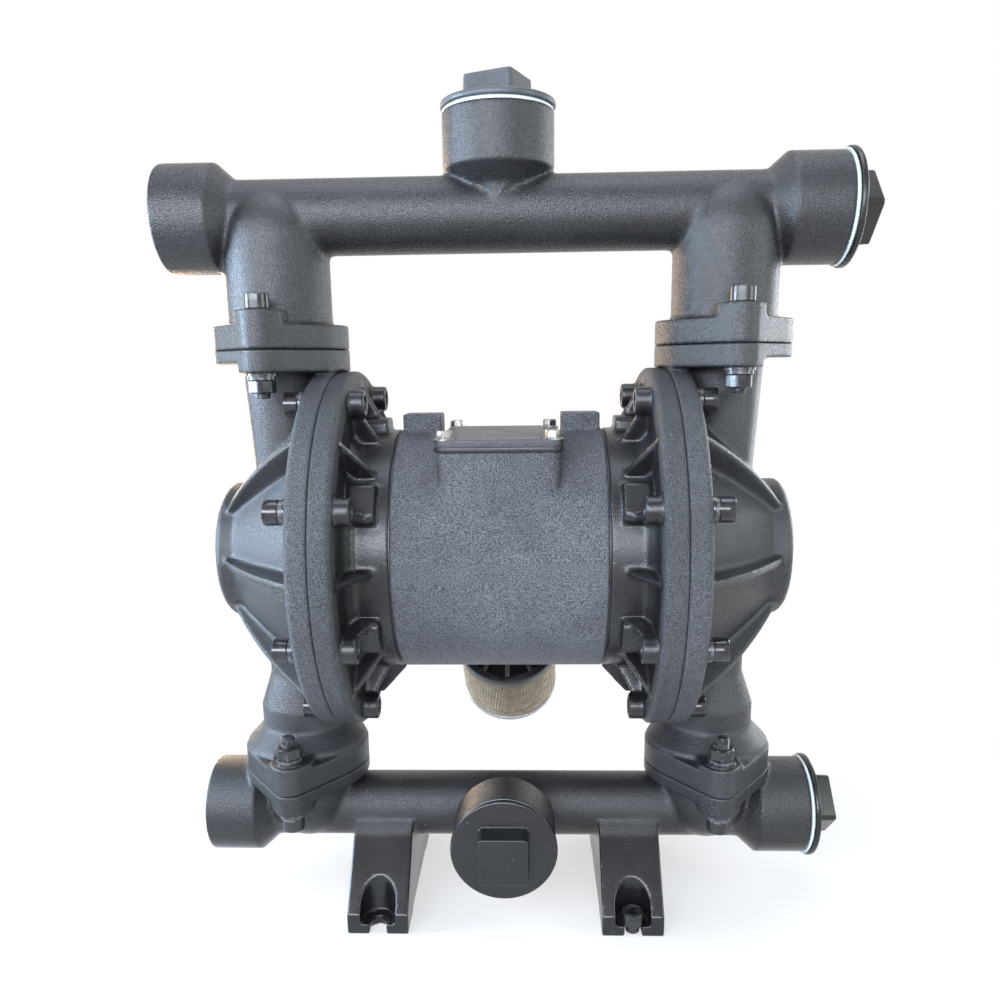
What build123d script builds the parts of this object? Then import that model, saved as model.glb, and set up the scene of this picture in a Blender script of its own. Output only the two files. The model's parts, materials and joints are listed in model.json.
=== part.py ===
from build123d import *
from math import cos, radians, sin, sqrt
import os

os.makedirs("parts", exist_ok=True)

# Layout, in millimetres. X runs along the shaft, Y to the back and Z up.
# The feet stand on Z = 0 and the origin lies midway between their slots.
shaft_z = 275.0
outlet_z = 506.0
inlet_z = 69.0
leg_x = 154.5
upper_seam_z = 417.8
lower_seam_z = 106.9
sides = (-1, 1)

# Fits and running clearances
bush_gap = 0.05
slide_gap = 0.1
rest_gap = 0.3
slip_gap = 0.2
joint_edge = 0.6

# Threaded ports, G 2
port_minor_r = 28.33
port_depth = 26.0
port_mouth = 1.5
port_face_x = 228.0
port_boss_length = 36.5
end_boss_r = 36.0
boss_taper = 12.5
branch_boss_r = 37.5
top_boss_rise = 3.0
top_boss_length = 35.0
front_boss_rise = 7.5
front_boss_length = 34.0
branch_root = 12.0
gusset_width = 26.0
gusset_depth = 20.0

# Manifold tubes
outlet_tube_r = 25.0
inlet_tube_r = 24.5
top_port_z = outlet_z + outlet_tube_r + top_boss_rise + top_boss_length
front_port_y = -(inlet_tube_r + front_boss_rise + front_boss_length)
passage_r = 19.0
branch_passage_r = 18.0
leg_r = 36.0
leg_top_z = 490.0
socket_z = 81.5

# Two bolt clamps between the manifolds and the fluid chambers
clamp_bolt_y = 54.6
clamp_waist_r = 46.6
clamp_corner_r = 12.5
clamp_pad_width = 30.0
clamp_pad_reach = 30.0
leg_flange = 16.7
leg_pad = 25.0
neck_flange = 9.0
neck_pad = 14.8
collar_flange = 17.0
collar_pad = 21.1
socket_flange = 10.0
socket_pad = 16.1

# M10 and M6 fasteners
m10_r = 5.0
m10_hole_r = 5.5
m10_head_r = 8.0
m10_head = 10.0
m10_key = 8.0
m10_nut = 8.4
m10_nut_flats = 16.0
m10_washer_r = 10.0
m10_washer = 2.0
m10_spring_r = 9.0
m10_spring = 2.5
m6_r = 3.0
m6_flange_r = 7.0
m6_flange = 1.5
m6_head = 4.8
m6_flats = 10.0
m8_r = 4.0
m8_head_r = 6.5
m8_head = 8.0
m8_key = 6.0
m8_shank = 26.0
cap_washer_r = 9.0
cap_washer = 1.6
cap_spring_r = 8.0
chamber_bolt_length = 40.0
upper_bolt_tail = 3.5
lower_bolt_tail = 7.5

# Check valves
ball_r = 22.5
ball_lift = 8.0
seat_r = 18.0
seat_height = 10.0
seat_chamfer = 3.0
cage_bore_r = 27.5
cage_straight = 20.0
cage_top_r = 20.0
cage_height = 45.0
cage_bar = 5.0
cage_ball_gap = 0.5
cage_foot = 4.0
cage_crown_r = 8.0
cage_crown = 3.2
o_ring_gap = 0.1
valve_passage_r = 17.0
o_ring_r = 1.6

# Diaphragm clamp between the fluid and air chambers
seam_x = 114.4
clamp_r = 128.0
fluid_flange = 14.6
air_flange = 14.4
chamber_bolts_each = 8
chamber_bolt_r = 116.0
bolt_angle = 22.5
rim_round = 2.5

# Fluid chamber
dome_root_r = 99.0
dome_mid_x = 161.0
dome_mid_r = 73.0
dome_tip_x = 185.5
hub_r = 49.0
hub_face_x = 198.8
hub_round = 3.0
dome_wall = 7.5
rib_width = 5.0
rib_root_r = 122.0
rib_mid_r = 91.5
rib_tip_x = 192.0
rib_angles = (-135, -45, 0, 45, 135, 180)
neck_top_r = 28.5
neck_low_r = 23.0
neck_low_z = 330.0
collar_r = 45.0
collar_shoulder_z = 127.0
throat_r = 32.5
throat_low_z = 140.0
throat_high_z = 156.0
waist_r = 24.0
waist_z = 181.0

# Air chamber
body_r = 86.5
body_end_x = 71.0
gasket_thick = 0.8
air_wall_x = 84.0
air_cavity_r = 92.0
air_web = 8.0
air_neck_wall = 12.0
air_floor_r = 62.0
bolt_boss_r = 9.0
bolt_boss_x = 89.0
air_gusset_x = 81.0
air_gusset_r = 121.0
air_gusset_width = 4.5
pad_angle = 30.0
pad_width = 27.0
pad_rise = 8.5
pad_depth = 24.0
pad_corner = 5.0
pad_start_x = 80.0
pad_end_x = 97.0
belly_r = 106.0
belly_x = 90.0
belly_width = 40.0
body_screws_each = 6
body_screw_inset = 11.5
body_screw_r = body_r - body_screw_inset
body_screw_seat_x = 82.0
body_screw_room = 4.0

# Diaphragms, plates and shaft
diaphragm = 4.0
diaphragm_rim_r = 107.0
diaphragm_fold = 7.0
inner_plate_r = 57.0
inner_plate = 10.0
outer_plate_r = 60.0
outer_plate = 9.0
plate_nut = 9.0
plate_nut_flats = 34.0
shaft_r = 10.0
shaft_thread_r = 8.0
shaft_stroke = 12.0
bush_wall = 4.0
bush_length = 16.0
seal_wall = 4.5
seal_length = 6.0
pilot_r = 4.0
pilot_y = -36.0
pilot_take_up = 7.5

# Centre body
body_wall = 10.5
end_wall = 21.0
shaft_tube_r = 24.0
exhaust_roof = 10.0
box_half_x = 40.0
box_front_y = -73.5
box_back_y = 53.0
box_top_z = 352.0
box_corner = 8.0
box_low_z = 300.0
pocket_wall = 9.0
pocket_depth = 34.0
pocket_floor_z = box_top_z - pocket_depth
exhaust_roof_z = pocket_floor_z - exhaust_roof
cover_overhang = 1.8
cover_thick = 5.0
cover_crown = 1.2
cover_gasket = 3.0
cover_bolt_x = 35.2
cover_bolt_inset = 9.3
cover_bolt_length = 20.0
lug_x = 55.0
lug_length = 28.0
lug_depth = 26.0
lug_z = 373.0
air_port_z = 329.0
air_port_y = 90.0
air_port_r = 9.3
air_port_boss_r = 18.0
air_port_depth = 16.0
air_passage_r = 5.0
exhaust_hole_r = 8.0

# Main air valve
block_gap = 1.0
block_length = 96.0
block_headroom = 4.0
block_height = pocket_depth - block_headroom
block_port_r = 4.0
block_port_pitch = 16.0
spool_r = 8.0
spool_travel = 4.0
spool_groove = 2.5
spool_land = 8.0

# Exhaust and muffler, on an axis that leans back and down at 45 degrees
muffler_lean = 45.0
exhaust_boss_r = 24.0
exhaust_face = 105.0
exhaust_thread_r = 15.15
nipple_depth = 16.0
muffler_neck_r = 20.0
muffler_flare = 118.0
muffler_base_face = 152.0
muffler_base_r = 45.0
muffler_rim = 6.0
muffler_wall = 4.0
muffler_spokes = 12
spoke_width = 4.0
mesh_r = 42.0
mesh_wall = 1.2
mesh_length = 74.0
cap_r = 43.6
cap_lip = 4.0
cap_thick = 2.0

# Port plugs
plug_flange_r = 38.4
plug_flange = 4.0
plug_shank = 20.0
plug_shank_gap = 0.08
plug_seal = 2.5
plug_seal_r = 37.3
plug_head = 36.5
plug_head_height = 15.6
plug_head_corner = 4.0
plug_head_draft = 3.0
top_plug_turn = -23.6

# Feet
foot_x = 93.2
foot_width = 45.0
foot_top_y = 24.0
foot_top_z = 68.0
foot_toe_y = 70.5
foot_toe_z = 15.0
foot_slot_y = 64.6
foot_slot_r = 6.0
foot_recess_r = 12.7
foot_recess_z = 7.5
foot_relief = 3.0
foot_relief_y = 44.0
foot_screw_length = 6.5

z_axis = (0, 0, 1)
legs = [(-leg_x, 0), (leg_x, 0)]
shaft_line = Axis((0, 0, shaft_z), (1, 0, 0))
muffler_dir = (0, cos(radians(muffler_lean)), -sin(radians(muffler_lean)))


def shaft_plane(side, distance):
    """A plane square to the shaft, this far out from the middle, with Z outwards."""
    return Plane(origin=(side * distance, 0, shaft_z), x_dir=(0, side, 0), z_dir=(side, 0, 0))


def muffler_plane(distance):
    """A plane square to the muffler's axis, this far from the pump's axis."""
    y, z = muffler_dir[1] * distance, muffler_dir[2] * distance
    return Plane(origin=(0, y, shaft_z + z), x_dir=(1, 0, 0), z_dir=muffler_dir)


# Fasteners, each made once with its bearing face on Z = 0 and its shank below
def socket_screw(shank_r, length, head_r, head, key):
    """Socket head screw."""
    with BuildPart() as screw:
        Cylinder(head_r, head, align=(Align.CENTER, Align.CENTER, Align.MIN))
        chamfer(screw.edges().group_by(Axis.Z)[-1], head_r / 12)
        with BuildSketch(Plane.XY.offset(head)):
            RegularPolygon(key / 2, 6, major_radius=False)
        extrude(amount=-head * 0.55, mode=Mode.SUBTRACT)
        Cylinder(shank_r, length, align=(Align.CENTER, Align.CENTER, Align.MAX))
        chamfer(screw.edges().group_by(Axis.Z)[0], shank_r / 6)
    return screw.part


def hex_nut(flats, thick, bore_r):
    """Hexagon nut with rounded corners, standing on Z = 0."""
    with BuildPart() as nut:
        with BuildSketch():
            RegularPolygon(flats / 2, 6, major_radius=False)
        extrude(amount=thick)
        Cylinder(flats * 0.56, thick, align=(Align.CENTER, Align.CENTER, Align.MIN), mode=Mode.INTERSECT)
        Cylinder(bore_r, thick, align=(Align.CENTER, Align.CENTER, Align.MIN), mode=Mode.SUBTRACT)
    return nut.part


def washer(outer_r, bore_r, thick):
    """Flat washer, standing on Z = 0."""
    with BuildPart() as ring:
        Cylinder(outer_r, thick, align=(Align.CENTER, Align.CENTER, Align.MIN))
        Cylinder(bore_r, thick, align=(Align.CENTER, Align.CENTER, Align.MIN), mode=Mode.SUBTRACT)
    return ring.part


def spring_washer(outer_r, bore_r, thick):
    """Split spring washer, standing on Z = 0."""
    with BuildPart() as ring:
        add(washer(outer_r, bore_r, thick))
        with Locations((outer_r, 0, 0)):
            Box(outer_r * 2, 1.2, thick, align=(Align.CENTER, Align.CENTER, Align.MIN), mode=Mode.SUBTRACT)
    return ring.part


def flange_bolt(length):
    """M6 bolt with a flanged hexagon head."""
    with BuildPart() as bolt:
        Cylinder(m6_flange_r, m6_flange, align=(Align.CENTER, Align.CENTER, Align.MIN))
        with BuildSketch(Plane.XY.offset(m6_flange)):
            RegularPolygon(m6_flats / 2, 6, major_radius=False)
        extrude(amount=m6_head)
        Cylinder(m6_r, length, align=(Align.CENTER, Align.CENTER, Align.MAX))
    return bolt.part


# Outlines of the clamp flanges, long across the pump
with BuildSketch() as clamp_outline:
    Circle(clamp_waist_r)
    with Locations((0, clamp_bolt_y), (0, -clamp_bolt_y)):
        Circle(clamp_corner_r)
    make_hull()

with BuildSketch() as clamp_pads:
    add(clamp_outline.sketch)
    Rectangle(clamp_pad_width, 4 * clamp_bolt_y, mode=Mode.INTERSECT)
    Rectangle(clamp_pad_width, 2 * (clamp_bolt_y + clamp_corner_r - clamp_pad_reach), mode=Mode.SUBTRACT)


def clamp_flange(face_z, flange, pad):
    """Both clamp flanges of a casting, from the seam at face_z. Negative sizes point down."""
    for outline, amount in ((clamp_outline, flange), (clamp_pads, pad)):
        with BuildSketch(Plane.XY.offset(face_z)) as flanges:
            with Locations(*legs):
                add(outline.sketch)
        extrude(flanges.sketch, amount=amount)


def clamp_holes(face_z, depth):
    """Bolt holes through both clamp flanges."""
    with BuildSketch(Plane.XY.offset(face_z)) as holes:
        with Locations(*[(x, side * clamp_bolt_y) for x, _ in legs for side in sides]):
            Circle(m10_hole_r)
    extrude(holes.sketch, amount=depth, mode=Mode.SUBTRACT)


def manifold_run(tube_r, axis_z):
    """The tube along X with a thick boss at each end."""
    with BuildSketch(Plane.XZ) as profile:
        with BuildLine():
            Polyline(
                (0, axis_z),
                (port_face_x, axis_z),
                (port_face_x, axis_z + end_boss_r),
                (port_face_x - port_boss_length, axis_z + end_boss_r),
                (port_face_x - port_boss_length - boss_taper, axis_z + tube_r),
                (0, axis_z + tube_r),
                close=True,
            )
        make_face()
        mirror(about=Plane.YZ)
    revolve(profile.sketch, axis=Axis((0, 0, axis_z), (1, 0, 0)))


def run_bore(axis_z):
    """Bore along the tube, with a threaded port at each end."""
    with BuildSketch(Plane.XZ) as profile:
        with BuildLine():
            Polyline(
                (0, axis_z),
                (port_face_x, axis_z),
                (port_face_x, axis_z + port_minor_r + port_mouth),
                (port_face_x - port_mouth, axis_z + port_minor_r),
                (port_face_x - port_depth, axis_z + port_minor_r),
                (port_face_x - port_depth, axis_z + passage_r),
                (0, axis_z + passage_r),
                close=True,
            )
        make_face()
        mirror(about=Plane.YZ)
    revolve(profile.sketch, axis=Axis((0, 0, axis_z), (1, 0, 0)), mode=Mode.SUBTRACT)


def branch_boss(plane, reach, length, tube_r):
    """A boss that stands on the tube: plane lies in the tube's axis, with Z along the boss."""
    with BuildSketch(Plane(origin=plane.origin, x_dir=plane.x_dir, z_dir=-plane.y_dir)) as profile:
        with BuildLine():
            Polyline(
                (0, 0),
                (tube_r * 0.8, 0),
                (tube_r, reach - length - branch_root),
                (branch_boss_r, reach - length),
                (branch_boss_r, reach),
                (0, reach),
                close=True,
            )
        make_face()
    revolve(profile.sketch, axis=Axis(plane.origin, plane.z_dir))


def branch_bore(plane, reach):
    """The threaded port in a branch boss, down to the tube's bore."""
    with BuildSketch(Plane(origin=plane.origin, x_dir=plane.x_dir, z_dir=-plane.y_dir)) as profile:
        with BuildLine():
            Polyline(
                (0, 0),
                (branch_passage_r, 0),
                (branch_passage_r, reach - port_depth),
                (port_minor_r, reach - port_depth),
                (port_minor_r, reach - port_mouth),
                (port_minor_r + port_mouth, reach),
                (0, reach),
                close=True,
            )
        make_face()
    revolve(profile.sketch, axis=Axis(plane.origin, plane.z_dir), mode=Mode.SUBTRACT)


def valve_pocket(side, seam_z, passage_top):
    """Cut one seat and cage pocket, and the passage from it up to passage_top."""
    cage_z = seam_z + seat_height
    with BuildSketch(Plane(origin=(side * leg_x, 0, 0), x_dir=(1, 0, 0), z_dir=(0, -1, 0))) as profile:
        with BuildLine():
            Polyline(
                (0, seam_z),
                (cage_bore_r, seam_z),
                (cage_bore_r, cage_z + cage_straight),
                (cage_top_r, cage_z + cage_height),
                (valve_passage_r, cage_z + cage_height),
                (valve_passage_r, passage_top),
                (0, passage_top),
                close=True,
            )
        make_face()
    revolve(profile.sketch, axis=Axis((side * leg_x, 0, 0), z_axis), mode=Mode.SUBTRACT)


def round_leg(side, flat_z, round_z):
    """A leg that runs from the clamp at flat_z and ends in a dome around round_z."""
    turn = leg_r if round_z > flat_z else -leg_r
    with BuildSketch(Plane(origin=(side * leg_x, 0, 0), x_dir=(1, 0, 0), z_dir=(0, -1, 0))) as profile:
        with BuildLine():
            Polyline((0, round_z + turn), (0, flat_z), (leg_r, flat_z), (leg_r, round_z))
            ThreePointArc(
                (leg_r, round_z),
                (leg_r * cos(radians(45)), round_z + turn * sin(radians(45))),
                (0, round_z + turn),
            )
        make_face()
    revolve(profile.sketch, axis=Axis((side * leg_x, 0, 0), z_axis))


# Branch ports: one on top of the outlet manifold, one on the front of the inlet manifold
top_branch = Plane(origin=(0, 0, outlet_z), x_dir=(1, 0, 0), z_dir=(0, 0, 1))
front_branch = Plane(origin=(0, 0, inlet_z), x_dir=(1, 0, 0), z_dir=(0, -1, 0))
top_reach = top_port_z - outlet_z
front_reach = -front_port_y

# Outlet manifold
with BuildPart() as upper_manifold:
    manifold_run(outlet_tube_r, outlet_z)
    branch_boss(top_branch, top_reach, top_boss_length, outlet_tube_r)
    for side in sides:
        round_leg(side, upper_seam_z, leg_top_z)
    clamp_flange(upper_seam_z, leg_flange, leg_pad)
    # Small gussets under the top boss, front and back
    with BuildSketch(Plane.XZ):
        with Locations((0, outlet_z)):
            Polygon(
                (-gusset_width / 2, outlet_tube_r),
                (0, outlet_tube_r - gusset_depth),
                (gusset_width / 2, outlet_tube_r),
                align=None,
            )
    extrude(amount=outlet_tube_r, both=True)
    run_bore(outlet_z)
    branch_bore(top_branch, top_reach)
    for side in sides:
        valve_pocket(side, upper_seam_z, outlet_z)
    clamp_holes(upper_seam_z, leg_pad)
upper_manifold.part.label = "upper_manifold"
export_step(upper_manifold.part, "parts/upper_manifold.step")

# Inlet manifold with its two feet
with BuildPart() as lower_manifold:
    manifold_run(inlet_tube_r, inlet_z)
    branch_boss(front_branch, front_reach, front_boss_length, inlet_tube_r)
    for side in sides:
        round_leg(side, lower_seam_z, socket_z)
    clamp_flange(lower_seam_z, -socket_flange, -socket_pad)
    # Feet: a slanted web each way from the tube down to a square toe
    with BuildSketch(Plane.YZ.offset(foot_x - foot_width / 2)):
        with BuildLine():
            Polyline(
                (0, foot_top_z),
                (foot_top_y, foot_top_z),
                (foot_toe_y, foot_toe_z),
                (foot_toe_y, 0),
                (foot_relief_y, 0),
                (foot_relief_y - foot_relief, foot_relief),
                (0, foot_relief),
                close=True,
            )
        make_face()
        mirror(about=Plane.YZ)
    feet = extrude(amount=foot_width)
    mirror(feet, about=Plane.YZ)
    # Slots for the foot bolts, open at the toe, each under a wider recess
    for radius, floor_z in ((foot_recess_r, foot_recess_z), (foot_slot_r, 0)):
        with BuildSketch(Plane.XY.offset(floor_z)):
            with Locations((-foot_x, foot_slot_y), (foot_x, foot_slot_y)):
                Circle(radius)
            with Locations((-foot_x, foot_toe_y), (foot_x, foot_toe_y)):
                Rectangle(2 * radius, 2 * (foot_toe_y - foot_slot_y))
            mirror(about=Plane.XZ)
        extrude(amount=foot_top_z, mode=Mode.SUBTRACT)
    run_bore(inlet_z)
    branch_bore(front_branch, front_reach)
    with Locations(*[(x, 0, lower_seam_z) for x, _ in legs]):
        Cylinder(
            seat_r,
            lower_seam_z - inlet_z,
            align=(Align.CENTER, Align.CENTER, Align.MAX),
            mode=Mode.SUBTRACT,
        )
    clamp_holes(lower_seam_z, -socket_pad)
lower_manifold.part.label = "lower_manifold"
export_step(lower_manifold.part, "parts/lower_manifold.step")

# Right fluid chamber; the left one is its mirror image
flange_face_x = seam_x + fluid_flange
with BuildPart() as right_fluid_chamber:
    # Flange, dome and hub, turned about the shaft
    with BuildSketch(Plane.XZ.shift_origin((0, 0, shaft_z))):
        with BuildLine():
            l1 = Polyline(
                (seam_x, 0),
                (seam_x, clamp_r - joint_edge),
                (seam_x + joint_edge, clamp_r),
                (flange_face_x - rim_round, clamp_r),
            )
            l2 = Polyline(
                (flange_face_x - rim_round, clamp_r),
                (flange_face_x, clamp_r - rim_round),
                (flange_face_x, dome_root_r),
            )
            l3 = ThreePointArc(
                (flange_face_x, dome_root_r),
                (dome_mid_x, dome_mid_r),
                (dome_tip_x, hub_r),
            )
            l4 = Polyline(
                (dome_tip_x, hub_r),
                (hub_face_x - hub_round, hub_r),
                (hub_face_x, hub_r - hub_round),
                (hub_face_x, 0),
                (seam_x, 0),
            )
        make_face()
    revolve(axis=shaft_line)
    # Ribs from the hub out to the flange
    with BuildSketch(Plane.XZ.shift_origin((0, 0, shaft_z))):
        with BuildLine():
            ThreePointArc(
                (flange_face_x, rib_root_r),
                (dome_mid_x, rib_mid_r),
                (rib_tip_x, hub_r),
            )
            Polyline(
                (rib_tip_x, hub_r),
                (seam_x + 1, hub_r),
                (seam_x + 1, rib_root_r),
                (flange_face_x, rib_root_r),
            )
        make_face()
    rib = extrude(amount=rib_width / 2, both=True, mode=Mode.PRIVATE)
    for angle in rib_angles:
        add(rib.rotate(shaft_line, angle + 90))
    # Upper neck
    neck_floor_z = upper_seam_z - neck_flange
    with BuildSketch(Plane.XY.offset(neck_low_z - neck_low_r)):
        with Locations((leg_x, 0)):
            Circle(neck_low_r)
    with BuildSketch(Plane.XY.offset(neck_floor_z)):
        with Locations((leg_x, 0)):
            Circle(neck_top_r)
    loft()
    # Lower neck, turned about the leg's axis
    with BuildSketch(Plane(origin=(leg_x, 0, 0), x_dir=(1, 0, 0), z_dir=(0, -1, 0))):
        with BuildLine():
            Polyline(
                (0, lower_seam_z),
                (collar_r, lower_seam_z),
                (collar_r, collar_shoulder_z),
                (throat_r, throat_low_z),
                (throat_r, throat_high_z),
                (waist_r, waist_z),
                (waist_r, shaft_z - hub_r),
                (0, shaft_z - hub_r),
                close=True,
            )
        make_face()
    revolve(axis=Axis((leg_x, 0, 0), z_axis))
    # Clamp flanges with thicker pads under the bolts
    for face_z, flange, pad in (
        (upper_seam_z, -neck_flange, -neck_pad),
        (lower_seam_z, collar_flange, collar_pad),
    ):
        for outline, amount in ((clamp_outline, flange), (clamp_pads, pad)):
            with BuildSketch(Plane.XY.offset(face_z)):
                with Locations((leg_x, 0)):
                    add(outline.sketch)
            extrude(amount=amount)
    # The inner half of the upper flange runs down to the rim of the main flange
    with BuildSketch(Plane.XY.offset(upper_seam_z)):
        with Locations((leg_x, 0)):
            add(clamp_outline.sketch)
        with Locations((seam_x, 0)):
            Rectangle(2 * (leg_x - seam_x), 4 * clamp_bolt_y, mode=Mode.INTERSECT)
    extrude(amount=-neck_pad)
    # Hollow: the pumping chamber, the upper passage and the lower valve pocket
    with BuildSketch(Plane.XZ.shift_origin((0, 0, shaft_z))):
        with BuildLine():
            Polyline((seam_x, 0), (seam_x, diaphragm_rim_r), (seam_x + diaphragm / 2, diaphragm_rim_r))
            Polyline((seam_x + diaphragm / 2, diaphragm_rim_r), (seam_x + diaphragm / 2, air_cavity_r))
            ThreePointArc(
                (seam_x + diaphragm / 2, air_cavity_r),
                (dome_mid_x - dome_wall * 0.7, dome_mid_r - dome_wall * 0.7),
                (dome_tip_x - dome_wall, hub_r - dome_wall),
            )
            Polyline((dome_tip_x - dome_wall, hub_r - dome_wall), (dome_tip_x - dome_wall, 0), (seam_x, 0))
        make_face()
    revolve(axis=shaft_line, mode=Mode.SUBTRACT)
    with Locations((leg_x, 0, upper_seam_z)):
        Cylinder(
            valve_passage_r,
            upper_seam_z - shaft_z - hub_r,
            align=(Align.CENTER, Align.CENTER, Align.MAX),
            mode=Mode.SUBTRACT,
        )
    valve_pocket(1, lower_seam_z, shaft_z - hub_r)
    # Bolt holes
    with BuildSketch(shaft_plane(1, seam_x)):
        with PolarLocations(chamber_bolt_r, chamber_bolts_each, start_angle=bolt_angle):
            Circle(m10_hole_r)
    extrude(amount=fluid_flange, mode=Mode.SUBTRACT)
    for face_z, depth in ((upper_seam_z, -neck_pad), (lower_seam_z, collar_pad)):
        with BuildSketch(Plane.XY.offset(face_z)):
            with Locations((leg_x, -clamp_bolt_y), (leg_x, clamp_bolt_y)):
                Circle(m10_hole_r)
        extrude(amount=depth, mode=Mode.SUBTRACT)
right_fluid_chamber.part.label = "right_fluid_chamber"
export_step(right_fluid_chamber.part, "parts/right_fluid_chamber.step")

with BuildPart() as left_fluid_chamber:
    mirror(right_fluid_chamber.part, about=Plane.YZ)
left_fluid_chamber.part.label = "left_fluid_chamber"
export_step(left_fluid_chamber.part, "parts/left_fluid_chamber.step")

# Right air chamber; the left one is its mirror image
air_back_x = seam_x - air_flange
hub_start_x = body_end_x + gasket_thick
with BuildPart() as right_air_chamber:
    with BuildSketch(Plane.XZ.shift_origin((0, 0, shaft_z))):
        with BuildLine():
            Polyline(
                (hub_start_x, 0),
                (hub_start_x, body_r - joint_edge),
                (hub_start_x + joint_edge, body_r),
                (air_back_x - 6, body_r),
                (air_back_x, body_r + 8),
                (air_back_x, clamp_r - rim_round),
                (air_back_x + rim_round, clamp_r),
                (seam_x - joint_edge, clamp_r),
                (seam_x, clamp_r - joint_edge),
                (seam_x, 0),
                close=True,
            )
        make_face()
    revolve(axis=shaft_line)
    # Bosses behind the flange for the long bolts
    with BuildSketch(shaft_plane(1, bolt_boss_x)):
        with PolarLocations(chamber_bolt_r, chamber_bolts_each, start_angle=bolt_angle):
            Circle(bolt_boss_r)
    extrude(amount=seam_x - bolt_boss_x - diaphragm)
    # Triangular gussets between the hub and the flange
    with BuildSketch(Plane.XZ.shift_origin((0, 0, shaft_z))):
        with BuildLine():
            Polyline(
                (air_gusset_x, body_r - 2),
                (air_gusset_x, body_r),
                (air_back_x, air_gusset_r),
                (air_back_x + 1, air_gusset_r),
                (air_back_x + 1, body_r - 2),
                close=True,
            )
        make_face()
    gusset = extrude(amount=air_gusset_width / 2, both=True, mode=Mode.PRIVATE)
    for step in range(2 * chamber_bolts_each):
        add(gusset.rotate(shaft_line, step * 180 / chamber_bolts_each))
    # Pads on the hub over the heads of the inner screws
    with BuildSketch(shaft_plane(1, pad_start_x)):
        with PolarLocations(body_r + pad_rise - pad_depth / 2, body_screws_each, start_angle=pad_angle):
            RectangleRounded(pad_depth, pad_width, pad_corner)
    extrude(amount=pad_end_x - pad_start_x)
    # Rounded belly under the hub
    with BuildSketch(Plane.XZ.shift_origin((0, 0, shaft_z))):
        with BuildLine():
            Polyline(
                (hub_start_x + joint_edge, 2 - body_r),
                (hub_start_x + joint_edge, -body_r),
                (belly_x, -belly_r),
                (air_back_x, -belly_r),
                (air_back_x, 2 - body_r),
                close=True,
            )
        make_face()
    extrude(amount=belly_width / 2, both=True)
    # Hollow on the diaphragm side
    with BuildSketch(Plane.XZ.shift_origin((0, 0, shaft_z))):
        with BuildLine():
            Polyline(
                (seam_x, 0),
                (seam_x, diaphragm_rim_r),
                (seam_x - diaphragm / 2, diaphragm_rim_r),
                (seam_x - diaphragm / 2, air_cavity_r),
                (air_back_x + air_web, air_cavity_r - 3),
                (air_wall_x + air_web, body_r - air_neck_wall),
                (air_wall_x, air_floor_r),
                (air_wall_x, 0),
                close=True,
            )
        make_face()
    revolve(axis=shaft_line, mode=Mode.SUBTRACT)
    # Shaft bore with the seal's pocket, pilot rod bore and air passage
    with BuildSketch(shaft_plane(1, hub_start_x)):
        Circle(shaft_r + slip_gap)
        with Locations((pilot_y, 0)):
            Circle(pilot_r + slide_gap)
        with Locations((0, air_port_z - shaft_z)):
            Circle(air_passage_r)
    extrude(amount=air_wall_x - hub_start_x, mode=Mode.SUBTRACT)
    with BuildSketch(shaft_plane(1, hub_start_x)):
        Circle(shaft_r + seal_wall + slip_gap)
    extrude(amount=seal_length + slip_gap, mode=Mode.SUBTRACT)
    # Inner screws: clearance holes with room for the heads
    with BuildSketch(shaft_plane(1, hub_start_x)):
        with PolarLocations(body_screw_r, body_screws_each, start_angle=pad_angle):
            Circle(m8_r + slip_gap)
    extrude(amount=body_screw_seat_x - hub_start_x, mode=Mode.SUBTRACT)
    with BuildSketch(shaft_plane(1, body_screw_seat_x)):
        with PolarLocations(body_screw_r, body_screws_each, start_angle=pad_angle):
            Circle(m8_head_r + slip_gap)
    extrude(amount=seam_x - body_screw_seat_x, mode=Mode.SUBTRACT)
    # Tapped holes for the long bolts
    with BuildSketch(shaft_plane(1, bolt_boss_x)):
        with PolarLocations(chamber_bolt_r, chamber_bolts_each, start_angle=bolt_angle):
            Circle(m10_r + bush_gap)
    extrude(amount=seam_x - bolt_boss_x, mode=Mode.SUBTRACT)
right_air_chamber.part.label = "right_air_chamber"
export_step(right_air_chamber.part, "parts/right_air_chamber.step")

with BuildPart() as left_air_chamber:
    mirror(right_air_chamber.part, about=Plane.YZ)
left_air_chamber.part.label = "left_air_chamber"
export_step(left_air_chamber.part, "parts/left_air_chamber.step")

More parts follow.
